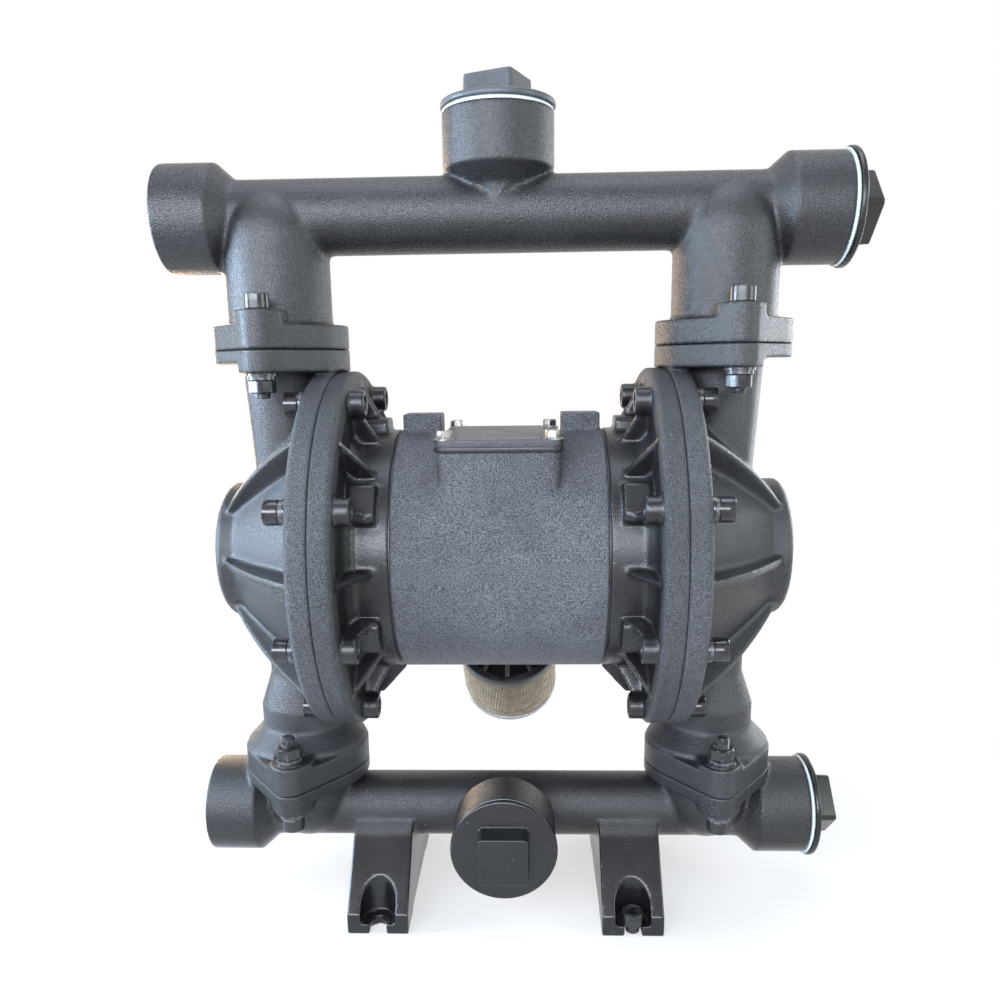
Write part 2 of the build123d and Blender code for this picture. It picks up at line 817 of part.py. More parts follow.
# Centre body
with BuildPart() as centre_body:
    with BuildSketch(Plane.YZ.offset(-body_end_x).shift_origin((-body_end_x, 0, shaft_z))):
        Circle(body_r)
    extrude(amount=2 * body_end_x)
    chamfer(centre_body.edges().filter_by(GeomType.CIRCLE), joint_edge)
    # Valve box on top, its lower end sunk into the barrel
    box_length = box_back_y - box_front_y
    box_y = (box_back_y + box_front_y) / 2
    with BuildSketch(Plane.XY.offset(box_low_z)):
        with Locations((0, box_y)):
            RectangleRounded(2 * box_half_x, box_length, box_corner)
    extrude(amount=box_top_z - box_low_z)
    # Two lugs on the crown, and the flat between them for the cover
    with Locations((-lug_x, 0, lug_z), (lug_x, 0, lug_z)):
        Box(lug_length, lug_depth, body_r / 2, align=(Align.CENTER, Align.CENTER, Align.MAX))
    with Locations((0, 0, box_top_z)):
        Box(
            2 * (box_half_x + cover_overhang + rest_gap),
            2 * body_r,
            body_r,
            align=(Align.CENTER, Align.CENTER, Align.MIN),
            mode=Mode.SUBTRACT,
        )
    # Air inlet boss at the back
    with BuildSketch(Plane(origin=(0, air_port_y, air_port_z), x_dir=(-1, 0, 0), z_dir=(0, 1, 0))):
        Circle(air_port_boss_r)
    extrude(amount=-(air_port_y - box_back_y + pocket_wall / 2))
    # Exhaust boss, leaning back and down
    with BuildSketch(muffler_plane(body_r - body_wall)):
        Circle(exhaust_boss_r)
    extrude(amount=exhaust_face - body_r + body_wall)
    # Exhaust chamber around the shaft tube
    with BuildSketch(Plane.YZ.offset(end_wall - body_end_x)):
        with Locations((0, shaft_z)):
            Circle(body_r - body_wall)
            Circle(shaft_tube_r, mode=Mode.SUBTRACT)
        with Locations((0, exhaust_roof_z)):
            Rectangle(2 * body_r, body_r, align=(Align.CENTER, Align.MIN), mode=Mode.SUBTRACT)
    extrude(amount=2 * (body_end_x - end_wall), mode=Mode.SUBTRACT)
    # Valve pocket under the cover
    with BuildSketch(Plane.XY.offset(pocket_floor_z)):
        with Locations((0, box_y)):
            RectangleRounded(2 * (box_half_x - pocket_wall), box_length - 2 * pocket_wall, box_corner / 2)
    extrude(amount=box_top_z - pocket_floor_z, mode=Mode.SUBTRACT)
    # Shaft bore and bush seats
    with BuildSketch(Plane.YZ.offset(-body_end_x)):
        with Locations((0, shaft_z)):
            Circle(shaft_r + slip_gap)
        with Locations((pilot_y, shaft_z)):
            Circle(pilot_r + slide_gap)
    extrude(amount=2 * body_end_x, mode=Mode.SUBTRACT)
    for side in sides:
        with BuildSketch(shaft_plane(side, body_end_x)):
            Circle(shaft_r + bush_wall)
        extrude(amount=-bush_length, mode=Mode.SUBTRACT)
        with BuildSketch(shaft_plane(side, body_end_x)):
            with PolarLocations(body_screw_r, body_screws_each, start_angle=pad_angle):
                Circle(m8_r + bush_gap)
        extrude(amount=body_screw_seat_x - body_end_x - m8_shank - body_screw_room, mode=Mode.SUBTRACT)
        # Air passage from the valve pocket to the air chamber
        with BuildSketch(shaft_plane(side, body_end_x)):
            with Locations((0, air_port_z - shaft_z)):
                Circle(air_passage_r)
        extrude(amount=-(body_end_x - box_half_x + pocket_wall), mode=Mode.SUBTRACT)
    # Air inlet thread and its way into the pocket
    with BuildSketch(Plane(origin=(0, air_port_y, air_port_z), x_dir=(-1, 0, 0), z_dir=(0, 1, 0))):
        Circle(air_port_r)
    extrude(amount=-air_port_depth, mode=Mode.SUBTRACT)
    with BuildSketch(Plane(origin=(0, air_port_y, air_port_z), x_dir=(-1, 0, 0), z_dir=(0, 1, 0))):
        Circle(air_port_r / 2)
    extrude(amount=-(air_port_y - box_back_y + pocket_wall), mode=Mode.SUBTRACT)
    # Exhaust thread, and the valve's exhaust hole through the pocket floor
    with BuildSketch(muffler_plane(exhaust_face)):
        Circle(exhaust_thread_r)
    extrude(amount=-(exhaust_face - body_r + 2 * body_wall), mode=Mode.SUBTRACT)
    with Locations((0, box_y, pocket_floor_z)):
        Cylinder(
            exhaust_hole_r,
            pocket_floor_z - exhaust_roof_z,
            align=(Align.CENTER, Align.CENTER, Align.MAX),
            mode=Mode.SUBTRACT,
        )
    # Tapped holes for the cover bolts, in the corners of the box
    cover_bolt_front = box_front_y + cover_bolt_inset - cover_overhang
    cover_bolt_back = box_back_y - cover_bolt_inset + cover_overhang
    cover_bolt_places = [(x * cover_bolt_x, y) for x in sides for y in (cover_bolt_front, cover_bolt_back)]
    with BuildSketch(Plane.XY.offset(box_top_z)):
        with Locations(*cover_bolt_places):
            Circle(m6_r + bush_gap)
    extrude(amount=-cover_bolt_length, mode=Mode.SUBTRACT)
centre_body.part.label = "centre_body"
export_step(centre_body.part, "parts/centre_body.step")


# Valve cover, its gasket and its four bolts
def cover_outline(overhang):
    """The box's outline, this much larger all round."""
    with BuildSketch() as outline:
        with Locations((0, box_y)):
            RectangleRounded(2 * (box_half_x + overhang), box_length + 2 * overhang, box_corner)
    return outline.sketch


cover_z = box_top_z + cover_gasket
cover_seat_z = cover_z + cover_thick - cover_crown
with BuildPart() as valve_cover_gasket:
    with BuildSketch(Plane.XY.offset(box_top_z)):
        add(cover_outline(cover_overhang))
        with Locations((0, box_y)):
            RectangleRounded(
                2 * (box_half_x - pocket_wall),
                box_length - 2 * pocket_wall,
                box_corner / 2,
                mode=Mode.SUBTRACT,
            )
        with Locations(*cover_bolt_places):
            Circle(m6_r + slip_gap, mode=Mode.SUBTRACT)
    extrude(amount=cover_gasket)
valve_cover_gasket.part.label = "valve_cover_gasket"
export_step(valve_cover_gasket.part, "parts/valve_cover_gasket.step")

with BuildPart() as valve_cover:
    with BuildSketch(Plane.XY.offset(cover_z)):
        add(cover_outline(cover_overhang - joint_edge))
    extrude(amount=cover_thick)
    chamfer(valve_cover.faces().sort_by(Axis.Z)[-1].edges(), joint_edge)
    with Locations(*[(x, y, cover_seat_z) for x, y in cover_bolt_places]):
        Cylinder(
            m6_flange_r + 1.5,
            cover_thick,
            align=(Align.CENTER, Align.CENTER, Align.MIN),
            mode=Mode.SUBTRACT,
        )
    with Locations(*[(x, y, cover_z) for x, y in cover_bolt_places]):
        Cylinder(m6_r + slip_gap, 4 * cover_thick, mode=Mode.SUBTRACT)
valve_cover.part.label = "valve_cover"
export_step(valve_cover.part, "parts/valve_cover.step")

with BuildPart() as valve_cover_bolts:
    with Locations(*[(x, y, cover_seat_z) for x, y in cover_bolt_places]):
        add(flange_bolt(cover_bolt_length))
valve_cover_bolts.part.label = "valve_cover_bolts"
export_step(valve_cover_bolts.part, "parts/valve_cover_bolts.step")

# Main air valve: a block with a spool that slides along X
spool_z = pocket_floor_z + block_height / 2
block_half_x = box_half_x - pocket_wall - block_gap
with BuildPart() as valve_block:
    with Locations((0, box_y, pocket_floor_z)):
        Box(2 * block_half_x, block_length, block_height, align=(Align.CENTER, Align.CENTER, Align.MIN))
    chamfer(valve_block.edges().filter_by(Axis.Z), 2)
    with BuildSketch(Plane.YZ.offset(-block_half_x)):
        with Locations((box_y, spool_z)):
            Circle(spool_r + bush_gap)
    extrude(amount=2 * block_half_x, mode=Mode.SUBTRACT)
    with Locations(*[(n * block_port_pitch, box_y, pocket_floor_z) for n in (-1, 0, 1)]):
        Cylinder(
            block_port_r,
            block_height / 2,
            align=(Align.CENTER, Align.CENTER, Align.MIN),
            mode=Mode.SUBTRACT,
        )
valve_block.part.label = "valve_block"
export_step(valve_block.part, "parts/valve_block.step")

spool_length = 2 * (block_half_x - spool_travel - block_gap)
with BuildPart() as valve_spool:
    with BuildSketch(Plane.YZ.offset(-spool_length / 2)):
        with Locations((box_y, spool_z)):
            Circle(spool_r)
    extrude(amount=spool_length)
    for side in sides:
        with BuildSketch(Plane.YZ.offset(side * (spool_length / 4) - spool_land / 2)):
            with Locations((box_y, spool_z)):
                Circle(spool_r)
                Circle(spool_r - spool_groove, mode=Mode.SUBTRACT)
        extrude(amount=spool_land, mode=Mode.SUBTRACT)
valve_spool.part.label = "valve_spool"
export_step(valve_spool.part, "parts/valve_spool.step")

# Pilot rod, pushed to and fro by the inner plates near the end of the shaft's stroke
inner_plate_x = seam_x - diaphragm / 2 - rest_gap - inner_plate
pilot_reach = inner_plate_x - min(pilot_take_up, shaft_stroke)
with BuildPart() as pilot_rod:
    with BuildSketch(Plane.YZ.offset(-pilot_reach)):
        with Locations((pilot_y, shaft_z)):
            Circle(pilot_r)
    extrude(amount=2 * pilot_reach)
    chamfer(pilot_rod.edges(), joint_edge)
pilot_rod.part.label = "pilot_rod"
export_step(pilot_rod.part, "parts/pilot_rod.step")

# Diaphragm shaft with a threaded end at each side
outer_plate_x = seam_x + diaphragm / 2 + rest_gap
plate_nut_x = outer_plate_x + outer_plate
shaft_end_x = plate_nut_x + plate_nut * 0.6
with BuildPart() as diaphragm_shaft:
    with BuildSketch(Plane.YZ.offset(-shaft_end_x)):
        with Locations((0, shaft_z)):
            Circle(shaft_thread_r)
    extrude(amount=2 * shaft_end_x)
    with BuildSketch(Plane.YZ.offset(-inner_plate_x)):
        with Locations((0, shaft_z)):
            Circle(shaft_r)
    extrude(amount=2 * inner_plate_x)
    chamfer(diaphragm_shaft.edges().sort_by(Axis.X)[0], 1)
    chamfer(diaphragm_shaft.edges().sort_by(Axis.X)[-1], 1)
diaphragm_shaft.part.label = "diaphragm_shaft"
export_step(diaphragm_shaft.part, "parts/diaphragm_shaft.step")

# Right diaphragm and its two plates; the left ones are mirror images
fold_mid_r = (air_cavity_r + inner_plate_r + 5) / 2
with BuildPart() as right_diaphragm:
    with BuildSketch(Plane.XZ.shift_origin((0, 0, shaft_z))):
        with BuildLine():
            inner_x, outer_x = seam_x - diaphragm / 2, seam_x + diaphragm / 2
            Polyline((inner_x, air_cavity_r), (inner_x, diaphragm_rim_r - slip_gap))
            Polyline((inner_x, diaphragm_rim_r - slip_gap), (outer_x, diaphragm_rim_r - slip_gap))
            Polyline((outer_x, diaphragm_rim_r - slip_gap), (outer_x, air_cavity_r))
            ThreePointArc(
                (outer_x, air_cavity_r),
                (outer_x - diaphragm_fold, fold_mid_r),
                (outer_x, inner_plate_r + 5),
            )
            Polyline((outer_x, inner_plate_r + 5), (outer_x, shaft_thread_r + slip_gap))
            Polyline((outer_x, shaft_thread_r + slip_gap), (inner_x, shaft_thread_r + slip_gap))
            Polyline((inner_x, shaft_thread_r + slip_gap), (inner_x, inner_plate_r + 5))
            ThreePointArc(
                (inner_x, inner_plate_r + 5),
                (inner_x - diaphragm_fold, fold_mid_r),
                (inner_x, air_cavity_r),
            )
        make_face()
    revolve(axis=shaft_line)
right_diaphragm.part.label = "right_diaphragm"
export_step(right_diaphragm.part, "parts/right_diaphragm.step")

with BuildPart() as right_inner_plate:
    with BuildSketch(shaft_plane(1, inner_plate_x)):
        Circle(inner_plate_r)
        Circle(shaft_thread_r + bush_gap, mode=Mode.SUBTRACT)
    extrude(amount=inner_plate)
    fillet(right_inner_plate.edges().filter_by(GeomType.CIRCLE).group_by(SortBy.RADIUS)[-1], 2.5)
right_inner_plate.part.label = "right_inner_plate"
export_step(right_inner_plate.part, "parts/right_inner_plate.step")

with BuildPart() as right_outer_plate:
    with BuildSketch(shaft_plane(1, outer_plate_x)):
        Circle(outer_plate_r)
    extrude(amount=outer_plate)
    chamfer(right_outer_plate.edges().sort_by(Axis.X)[-1], outer_plate * 0.6)
    fillet(right_outer_plate.edges().sort_by(Axis.X)[0], 2)
    with BuildSketch(shaft_plane(1, plate_nut_x)):
        RegularPolygon(plate_nut_flats / 2, 6, major_radius=False)
    extrude(amount=plate_nut)
    with BuildSketch(shaft_plane(1, outer_plate_x)):
        Circle(shaft_thread_r + bush_gap)
    extrude(amount=shaft_end_x - outer_plate_x + bush_gap, mode=Mode.SUBTRACT)
right_outer_plate.part.label = "right_outer_plate"
export_step(right_outer_plate.part, "parts/right_outer_plate.step")

for name, right in (
    ("left_diaphragm", right_diaphragm),
    ("left_inner_plate", right_inner_plate),
    ("left_outer_plate", right_outer_plate),
):
    with BuildPart() as left_piece:
        mirror(right.part, about=Plane.YZ)
    left_piece.part.label = name
    export_step(left_piece.part, f"parts/{name}.step")

# Bushes, seals and gaskets on the shaft line, one of each per side
with BuildPart() as shaft_bushes:
    for side in sides:
        with BuildSketch(shaft_plane(side, body_end_x)):
            Circle(shaft_r + bush_wall)
            Circle(shaft_r + bush_gap, mode=Mode.SUBTRACT)
        extrude(amount=-bush_length)
shaft_bushes.part.label = "shaft_bushes"
export_step(shaft_bushes.part, "parts/shaft_bushes.step")

with BuildPart() as shaft_seals:
    for side in sides:
        with BuildSketch(shaft_plane(side, hub_start_x)):
            Circle(shaft_r + seal_wall)
            Circle(shaft_r + slide_gap, mode=Mode.SUBTRACT)
        extrude(amount=seal_length)
shaft_seals.part.label = "shaft_seals"
export_step(shaft_seals.part, "parts/shaft_seals.step")

with BuildPart() as body_gaskets:
    for side in sides:
        with BuildSketch(shaft_plane(side, body_end_x)):
            Circle(body_r - 2 * joint_edge)
            Circle(shaft_r + bush_wall, mode=Mode.SUBTRACT)
            with Locations((side * pilot_y, 0)):
                Circle(pilot_r + slip_gap, mode=Mode.SUBTRACT)
            with Locations((0, air_port_z - shaft_z)):
                Circle(air_passage_r, mode=Mode.SUBTRACT)
            with PolarLocations(body_screw_r, body_screws_each, start_angle=pad_angle):
                Circle(m8_r + slip_gap, mode=Mode.SUBTRACT)
        extrude(amount=gasket_thick)
body_gaskets.part.label = "body_gaskets"
export_step(body_gaskets.part, "parts/body_gaskets.step")

body_screw = socket_screw(m8_r, m8_shank, m8_head_r, m8_head, m8_key)
with BuildPart() as body_screws:
    for side in sides:
        with Locations(shaft_plane(side, body_screw_seat_x)):
            with PolarLocations(body_screw_r, body_screws_each, start_angle=pad_angle):
                add(body_screw)
body_screws.part.label = "body_screws"
export_step(body_screws.part, "parts/body_screws.step")

# Check valves: seat, O-ring, cage and ball, drawn once above Z = 0 as the seam
with BuildPart() as seat_ring:
    Cylinder(cage_bore_r - slip_gap, seat_height, align=(Align.CENTER, Align.CENTER, Align.MIN))
    Cylinder(seat_r, seat_height, align=(Align.CENTER, Align.CENTER, Align.MIN), mode=Mode.SUBTRACT)
    chamfer(
        seat_ring.edges().filter_by(GeomType.CIRCLE).group_by(Axis.Z)[-1].sort_by(SortBy.RADIUS)[0],
        seat_chamfer,
    )
    with BuildSketch():
        Circle(cage_bore_r)
        Circle(cage_bore_r - 2 * (o_ring_r + o_ring_gap), mode=Mode.SUBTRACT)
    extrude(amount=2 * (o_ring_r + o_ring_gap), mode=Mode.SUBTRACT)

with BuildPart() as o_ring:
    with Locations((0, 0, o_ring_r + o_ring_gap)):
        Torus(cage_bore_r - o_ring_r - o_ring_gap, o_ring_r)

ball_z = seat_height - seat_chamfer + sqrt(ball_r**2 - seat_r**2) + rest_gap
lifted_z = ball_z + ball_lift
cage_ball_r = ball_r + cage_ball_gap
crown_z = lifted_z + sqrt(cage_ball_r**2 - cage_crown_r**2)
cage_top_z = seat_height + cage_height
with BuildPart() as cage:
    with BuildSketch(Plane.XZ) as bar_outline:
        with BuildLine():
            Polyline(
                (cage_ball_r, lifted_z),
                (cage_ball_r, seat_height),
                (cage_bore_r - slip_gap, seat_height),
                (cage_bore_r - slip_gap, seat_height + cage_straight),
                (cage_top_r - slip_gap, cage_top_z),
                (cage_crown_r, cage_top_z),
                (cage_crown_r, crown_z),
            )
            RadiusArc((cage_ball_r, lifted_z), (cage_crown_r, crown_z), -cage_ball_r)
        make_face()
    bar = extrude(amount=cage_bar / 2, both=True, mode=Mode.PRIVATE)
    for step in range(4):
        add(bar.rotate(Axis.Z, 45 + 90 * step))
    for outer_r, inner_r, low_z, thick in (
        (cage_bore_r - slip_gap, cage_ball_r, seat_height, cage_foot),
        (cage_crown_r + cage_bar, cage_crown_r, cage_top_z - cage_crown, cage_crown),
    ):
        with BuildSketch(Plane.XY.offset(low_z)):
            Circle(outer_r)
            Circle(inner_r, mode=Mode.SUBTRACT)
        extrude(amount=thick)

seam_heights = {"inlet": lower_seam_z, "outlet": upper_seam_z}
for port, seam_z in seam_heights.items():
    for name, piece in (("seats", seat_ring), ("cages", cage)):
        with BuildPart() as pair:
            with Locations(*[(x, 0, seam_z) for x, _ in legs]):
                add(piece.part)
        pair.part.label = f"{port}_{name}"
        export_step(pair.part, f"parts/{port}_{name}.step")
    for side_name, side in zip(("left", "right"), sides):
        with BuildPart() as ball:
            with Locations((side * leg_x, 0, seam_z + ball_z)):
                Sphere(ball_r)
        ball.part.label = f"{port}_ball_{side_name}"
        export_step(ball.part, f"parts/{port}_ball_{side_name}.step")

with BuildPart() as seat_o_rings:
    with Locations(*[(x, 0, z) for x, _ in legs for z in seam_heights.values()]):
        add(o_ring.part)
seat_o_rings.part.label = "seat_o_rings"
export_step(seat_o_rings.part, "parts/seat_o_rings.step")

# Bolts round the diaphragm clamp, each with a flat and a spring washer
cap_spring_x = flange_face_x + cap_washer
chamber_head_x = cap_spring_x + m10_spring
chamber_bolt = socket_screw(m10_r, chamber_bolt_length, m10_head_r, m10_head, m10_key)
cap_spring = spring_washer(cap_spring_r, m10_r + slip_gap, m10_spring)
for name, piece, distance in (
    ("chamber_bolts", chamber_bolt, chamber_head_x),
    ("chamber_washers", washer(cap_washer_r, m10_hole_r, cap_washer), flange_face_x),
    ("chamber_spring_washers", cap_spring, cap_spring_x),
):
    with BuildPart() as ring_of_pieces:
        for side in sides:
            with Locations(shaft_plane(side, distance)):
                with PolarLocations(chamber_bolt_r, chamber_bolts_each, start_angle=bolt_angle):
                    add(piece)
    ring_of_pieces.part.label = name
    export_step(ring_of_pieces.part, f"parts/{name}.step")

# Bolts of the four manifold clamps
clamp_places = [(x, side * clamp_bolt_y) for x, _ in legs for side in sides]
upper_head_z = upper_seam_z + leg_pad
neck_pad_z = upper_seam_z - neck_pad
collar_pad_z = lower_seam_z + collar_pad
socket_pad_z = lower_seam_z - socket_pad
washer_pair = m10_washer + m10_spring
lower_head_z = socket_pad_z - washer_pair
upper_bolt_length = upper_head_z - neck_pad_z + washer_pair + m10_nut + upper_bolt_tail
lower_bolt_length = collar_pad_z - lower_head_z + washer_pair + m10_nut + lower_bolt_tail
upper_clamp_bolt = socket_screw(m10_r, upper_bolt_length, m10_head_r, m10_head, m10_key)
lower_clamp_bolt = socket_screw(m10_r, lower_bolt_length, m10_head_r, m10_head, m10_key)

with BuildPart() as upper_clamp_bolts:
    with Locations(*[(x, y, upper_head_z) for x, y in clamp_places]):
        add(upper_clamp_bolt)
upper_clamp_bolts.part.label = "upper_clamp_bolts"
export_step(upper_clamp_bolts.part, "parts/upper_clamp_bolts.step")

with BuildPart() as lower_clamp_bolts:
    with Locations(*[Location((x, y, lower_head_z), (180, 0, 0)) for x, y in clamp_places]):
        add(lower_clamp_bolt)
lower_clamp_bolts.part.label = "lower_clamp_bolts"
export_step(lower_clamp_bolts.part, "parts/lower_clamp_bolts.step")

flat_heights = (neck_pad_z - m10_washer, collar_pad_z, socket_pad_z - m10_washer)
spring_heights = (neck_pad_z - washer_pair, collar_pad_z + m10_washer, lower_head_z)
nut_heights = (neck_pad_z - washer_pair - m10_nut, collar_pad_z + washer_pair)
for name, piece, heights in (
    ("clamp_washers", washer(m10_washer_r, m10_r + slip_gap, m10_washer), flat_heights),
    ("clamp_spring_washers", spring_washer(m10_spring_r, m10_r + slip_gap, m10_spring), spring_heights),
    ("clamp_nuts", hex_nut(m10_nut_flats, m10_nut, m10_r + bush_gap), nut_heights),
):
    with BuildPart() as clamp_set:
        with Locations(*[(x, y, z) for x, y in clamp_places for z in heights]):
            add(piece)
    clamp_set.part.label = name
    export_step(clamp_set.part, f"parts/{name}.step")

# Port plugs with square heads, each on a sealing ring
with BuildPart() as plug:
    Cylinder(plug_flange_r, plug_flange, align=(Align.CENTER, Align.CENTER, Align.MIN))
    chamfer(plug.edges().group_by(Axis.Z)[-1], 1)
    with BuildSketch(Plane.XY.offset(plug_flange)):
        RectangleRounded(plug_head, plug_head, plug_head_corner)
    extrude(amount=plug_head_height, taper=plug_head_draft)
    Cylinder(
        port_minor_r - plug_shank_gap,
        plug_shank,
        align=(Align.CENTER, Align.CENTER, Align.MAX),
    )
    chamfer(plug.edges().group_by(Axis.Z)[0], 1.5)
    with Locations((0, 0, -plug_shank)):
        Cylinder(
            passage_r,
            plug_shank,
            align=(Align.CENTER, Align.CENTER, Align.MIN),
            mode=Mode.SUBTRACT,
        )

plug_seats = {
    "top_port_plug": (Plane(origin=(0, 0, top_port_z), x_dir=(1, 0, 0), z_dir=(0, 0, 1)), top_plug_turn),
    "upper_right_plug": (Plane(origin=(port_face_x, 0, outlet_z), x_dir=(0, 1, 0), z_dir=(1, 0, 0)), 45),
    "lower_right_plug": (Plane(origin=(port_face_x, 0, inlet_z), x_dir=(0, 1, 0), z_dir=(1, 0, 0)), 45),
    "front_port_plug": (Plane(origin=(0, front_port_y, inlet_z), x_dir=(1, 0, 0), z_dir=(0, -1, 0)), 0),
}
for name, (seat, turn) in plug_seats.items():
    with BuildPart() as placed_plug:
        with Locations(seat.offset(plug_seal)):
            add(plug.part, rotation=(0, 0, turn))
    placed_plug.part.label = name
    export_step(placed_plug.part, f"parts/{name}.step")

with BuildPart() as plug_seals:
    for seat, _ in plug_seats.values():
        with BuildSketch(seat):
            Circle(plug_seal_r)
            Circle(port_minor_r + slip_gap, mode=Mode.SUBTRACT)
        extrude(amount=plug_seal)
plug_seals.part.label = "plug_seals"
export_step(plug_seals.part, "parts/plug_seals.step")

# Exhaust muffler: threaded base with spokes, mesh tube and end cap
muffler_line = Axis((0, 0, shaft_z), muffler_dir)
muffler_side = Plane(origin=(0, 0, shaft_z), x_dir=muffler_dir, z_dir=(1, 0, 0))
rim_back = muffler_base_face - 2 * muffler_rim
with BuildPart() as muffler_base:
    with BuildSketch(muffler_side):
        with BuildLine():
            Polyline(
                (exhaust_face - nipple_depth, exhaust_thread_r - muffler_wall),
                (exhaust_face - nipple_depth, exhaust_thread_r - plug_shank_gap),
                (exhaust_face, exhaust_thread_r - plug_shank_gap),
                (exhaust_face, muffler_neck_r),
                (muffler_base_face - muffler_rim, muffler_neck_r),
                (muffler_base_face - muffler_rim, muffler_base_r - muffler_rim),
                (rim_back, muffler_base_r - muffler_rim),
                (rim_back, muffler_base_r),
                (muffler_base_face, muffler_base_r),
                (muffler_base_face, exhaust_thread_r - muffler_wall),
                close=True,
            )
        make_face()
    revolve(axis=muffler_line)
    # Spokes from the neck out to the rim
    with BuildSketch(muffler_side):
        with BuildLine():
            Polyline(
                (muffler_flare, muffler_neck_r - 1),
                (rim_back, muffler_base_r - muffler_rim + 1),
                (muffler_base_face - 1, muffler_base_r - muffler_rim + 1),
                (muffler_base_face - 1, muffler_neck_r - 1),
                close=True,
            )
        make_face()
    spoke = extrude(amount=spoke_width / 2, both=True, mode=Mode.PRIVATE)
    for step in range(muffler_spokes):
        add(spoke.rotate(muffler_line, 360 * step / muffler_spokes))
muffler_base.part.label = "muffler_base"
export_step(muffler_base.part, "parts/muffler_base.step")

with BuildPart() as muffler_mesh:
    with BuildSketch(muffler_plane(muffler_base_face)):
        Circle(mesh_r)
        Circle(mesh_r - mesh_wall, mode=Mode.SUBTRACT)
    extrude(amount=mesh_length)
muffler_mesh.part.label = "muffler_mesh"
export_step(muffler_mesh.part, "parts/muffler_mesh.step")

with BuildPart() as muffler_end_cap:
    with BuildSketch(muffler_plane(muffler_base_face + mesh_length - cap_lip)):
        Circle(cap_r)
        Circle(mesh_r + slide_gap, mode=Mode.SUBTRACT)
    extrude(amount=cap_lip)
    with BuildSketch(muffler_plane(muffler_base_face + mesh_length)):
        Circle(cap_r)
    extrude(amount=cap_thick)
muffler_end_cap.part.label = "muffler_end_cap"
export_step(muffler_end_cap.part, "parts/muffler_end_cap.step")

# Short screw that stands in the slot of the right foot
with BuildPart() as foot_screw:
    with Locations((foot_x, -foot_slot_y, foot_recess_z)):
        add(socket_screw(m10_r, foot_screw_length, m10_head_r, m10_head, m10_key))
foot_screw.part.label = "foot_screw"
export_step(foot_screw.part, "parts/foot_screw.step")
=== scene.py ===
"""Dresses the air operated diaphragm pump: soft castings, screws, plugs, muffler, finishes and studio."""

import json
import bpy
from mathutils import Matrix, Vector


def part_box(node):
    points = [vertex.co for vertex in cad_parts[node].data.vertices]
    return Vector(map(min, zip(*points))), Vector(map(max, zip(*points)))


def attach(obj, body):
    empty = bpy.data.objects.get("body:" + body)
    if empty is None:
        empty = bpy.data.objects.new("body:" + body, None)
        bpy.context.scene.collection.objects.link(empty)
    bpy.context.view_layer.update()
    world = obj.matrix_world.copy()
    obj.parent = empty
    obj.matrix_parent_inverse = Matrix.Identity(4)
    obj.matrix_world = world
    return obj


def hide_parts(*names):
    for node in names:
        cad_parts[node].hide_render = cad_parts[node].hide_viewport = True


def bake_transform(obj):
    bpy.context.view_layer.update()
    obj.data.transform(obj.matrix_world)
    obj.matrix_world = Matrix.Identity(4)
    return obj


bl_info = {
    "name": "Diaphragm Pump Dressing",
    "version": (1, 0, 0),
    "blender": (4, 5, 0),
    "location": "3D View > Sidebar > Pump",
    "description": "Builds the visible pieces of an air operated diaphragm pump around its CAD frame",
    "category": "Object",
}

from collections import namedtuple
from math import atan2, cos, pi, radians, sin

import bmesh
import bpy
import numpy as np
from mathutils import Matrix, Vector

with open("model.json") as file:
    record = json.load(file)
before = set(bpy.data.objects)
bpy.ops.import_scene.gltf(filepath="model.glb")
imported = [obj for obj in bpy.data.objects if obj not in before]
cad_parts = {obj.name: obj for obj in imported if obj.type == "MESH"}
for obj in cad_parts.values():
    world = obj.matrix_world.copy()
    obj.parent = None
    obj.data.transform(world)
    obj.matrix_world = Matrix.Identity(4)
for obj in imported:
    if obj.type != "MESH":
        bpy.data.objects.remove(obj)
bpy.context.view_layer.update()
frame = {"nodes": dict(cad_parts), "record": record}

MM = 0.001
SIDES = (-1, 1)


# Sizes that the details are worked out from, in millimetres, and the muffler's lean in degrees

HEAD_R = 8.0
HEAD_HEIGHT = 10.0
HEAD_KEY = 8.0
SHANK_R = 5.0
CHAMBER_WASHER = 1.6
FLAT_WASHER = 2.0
SPRING_WASHER = 2.5
NUT_THICK = 8.4
NUT_FLATS = 16.0
COVER_FLANGE_R = 7.0
COVER_HEAD = 6.3
COVER_SHANK = 20.0
PLUG_SEAL = 2.5
PORT_CREST_R = 29.8
PORT_DEPTH = 26.0
CHAMBER_BOLT_R = 116.0
RIM_BACK_X = 100.0
DIAPHRAGM_HOLE_R = 8.2
PLATE_MARGIN = 5.0
CAVITY_R = 92.0
MUFFLER_BASE = 152.0
MUFFLER_LENGTH = 74.0
MUFFLER_LEAN = 45.0


# Heights and places that the frame gives, in millimetres


def low(node, axis):
    """The lowest place of a CAD node along an axis."""
    return round(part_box(node)[0]["XYZ".index(axis)] / MM, 2)


def high(node, axis):
    """The highest place of a CAD node along an axis."""
    return round(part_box(node)[1]["XYZ".index(axis)] / MM, 2)


def middle(node, axis):
    """The place halfway along a CAD node."""
    return (low(node, axis) + high(node, axis)) / 2


def mount(name):
    """Place, radius and depth of one of the record's bores."""
    found = next(entry for entry in frame["record"]["mounts"] if entry["name"] == name)
    place = [round(value / MM, 2) for value in found["pos_m"]]
    return place, found["dims"]["r_mm"], found["dims"]["length_mm"]


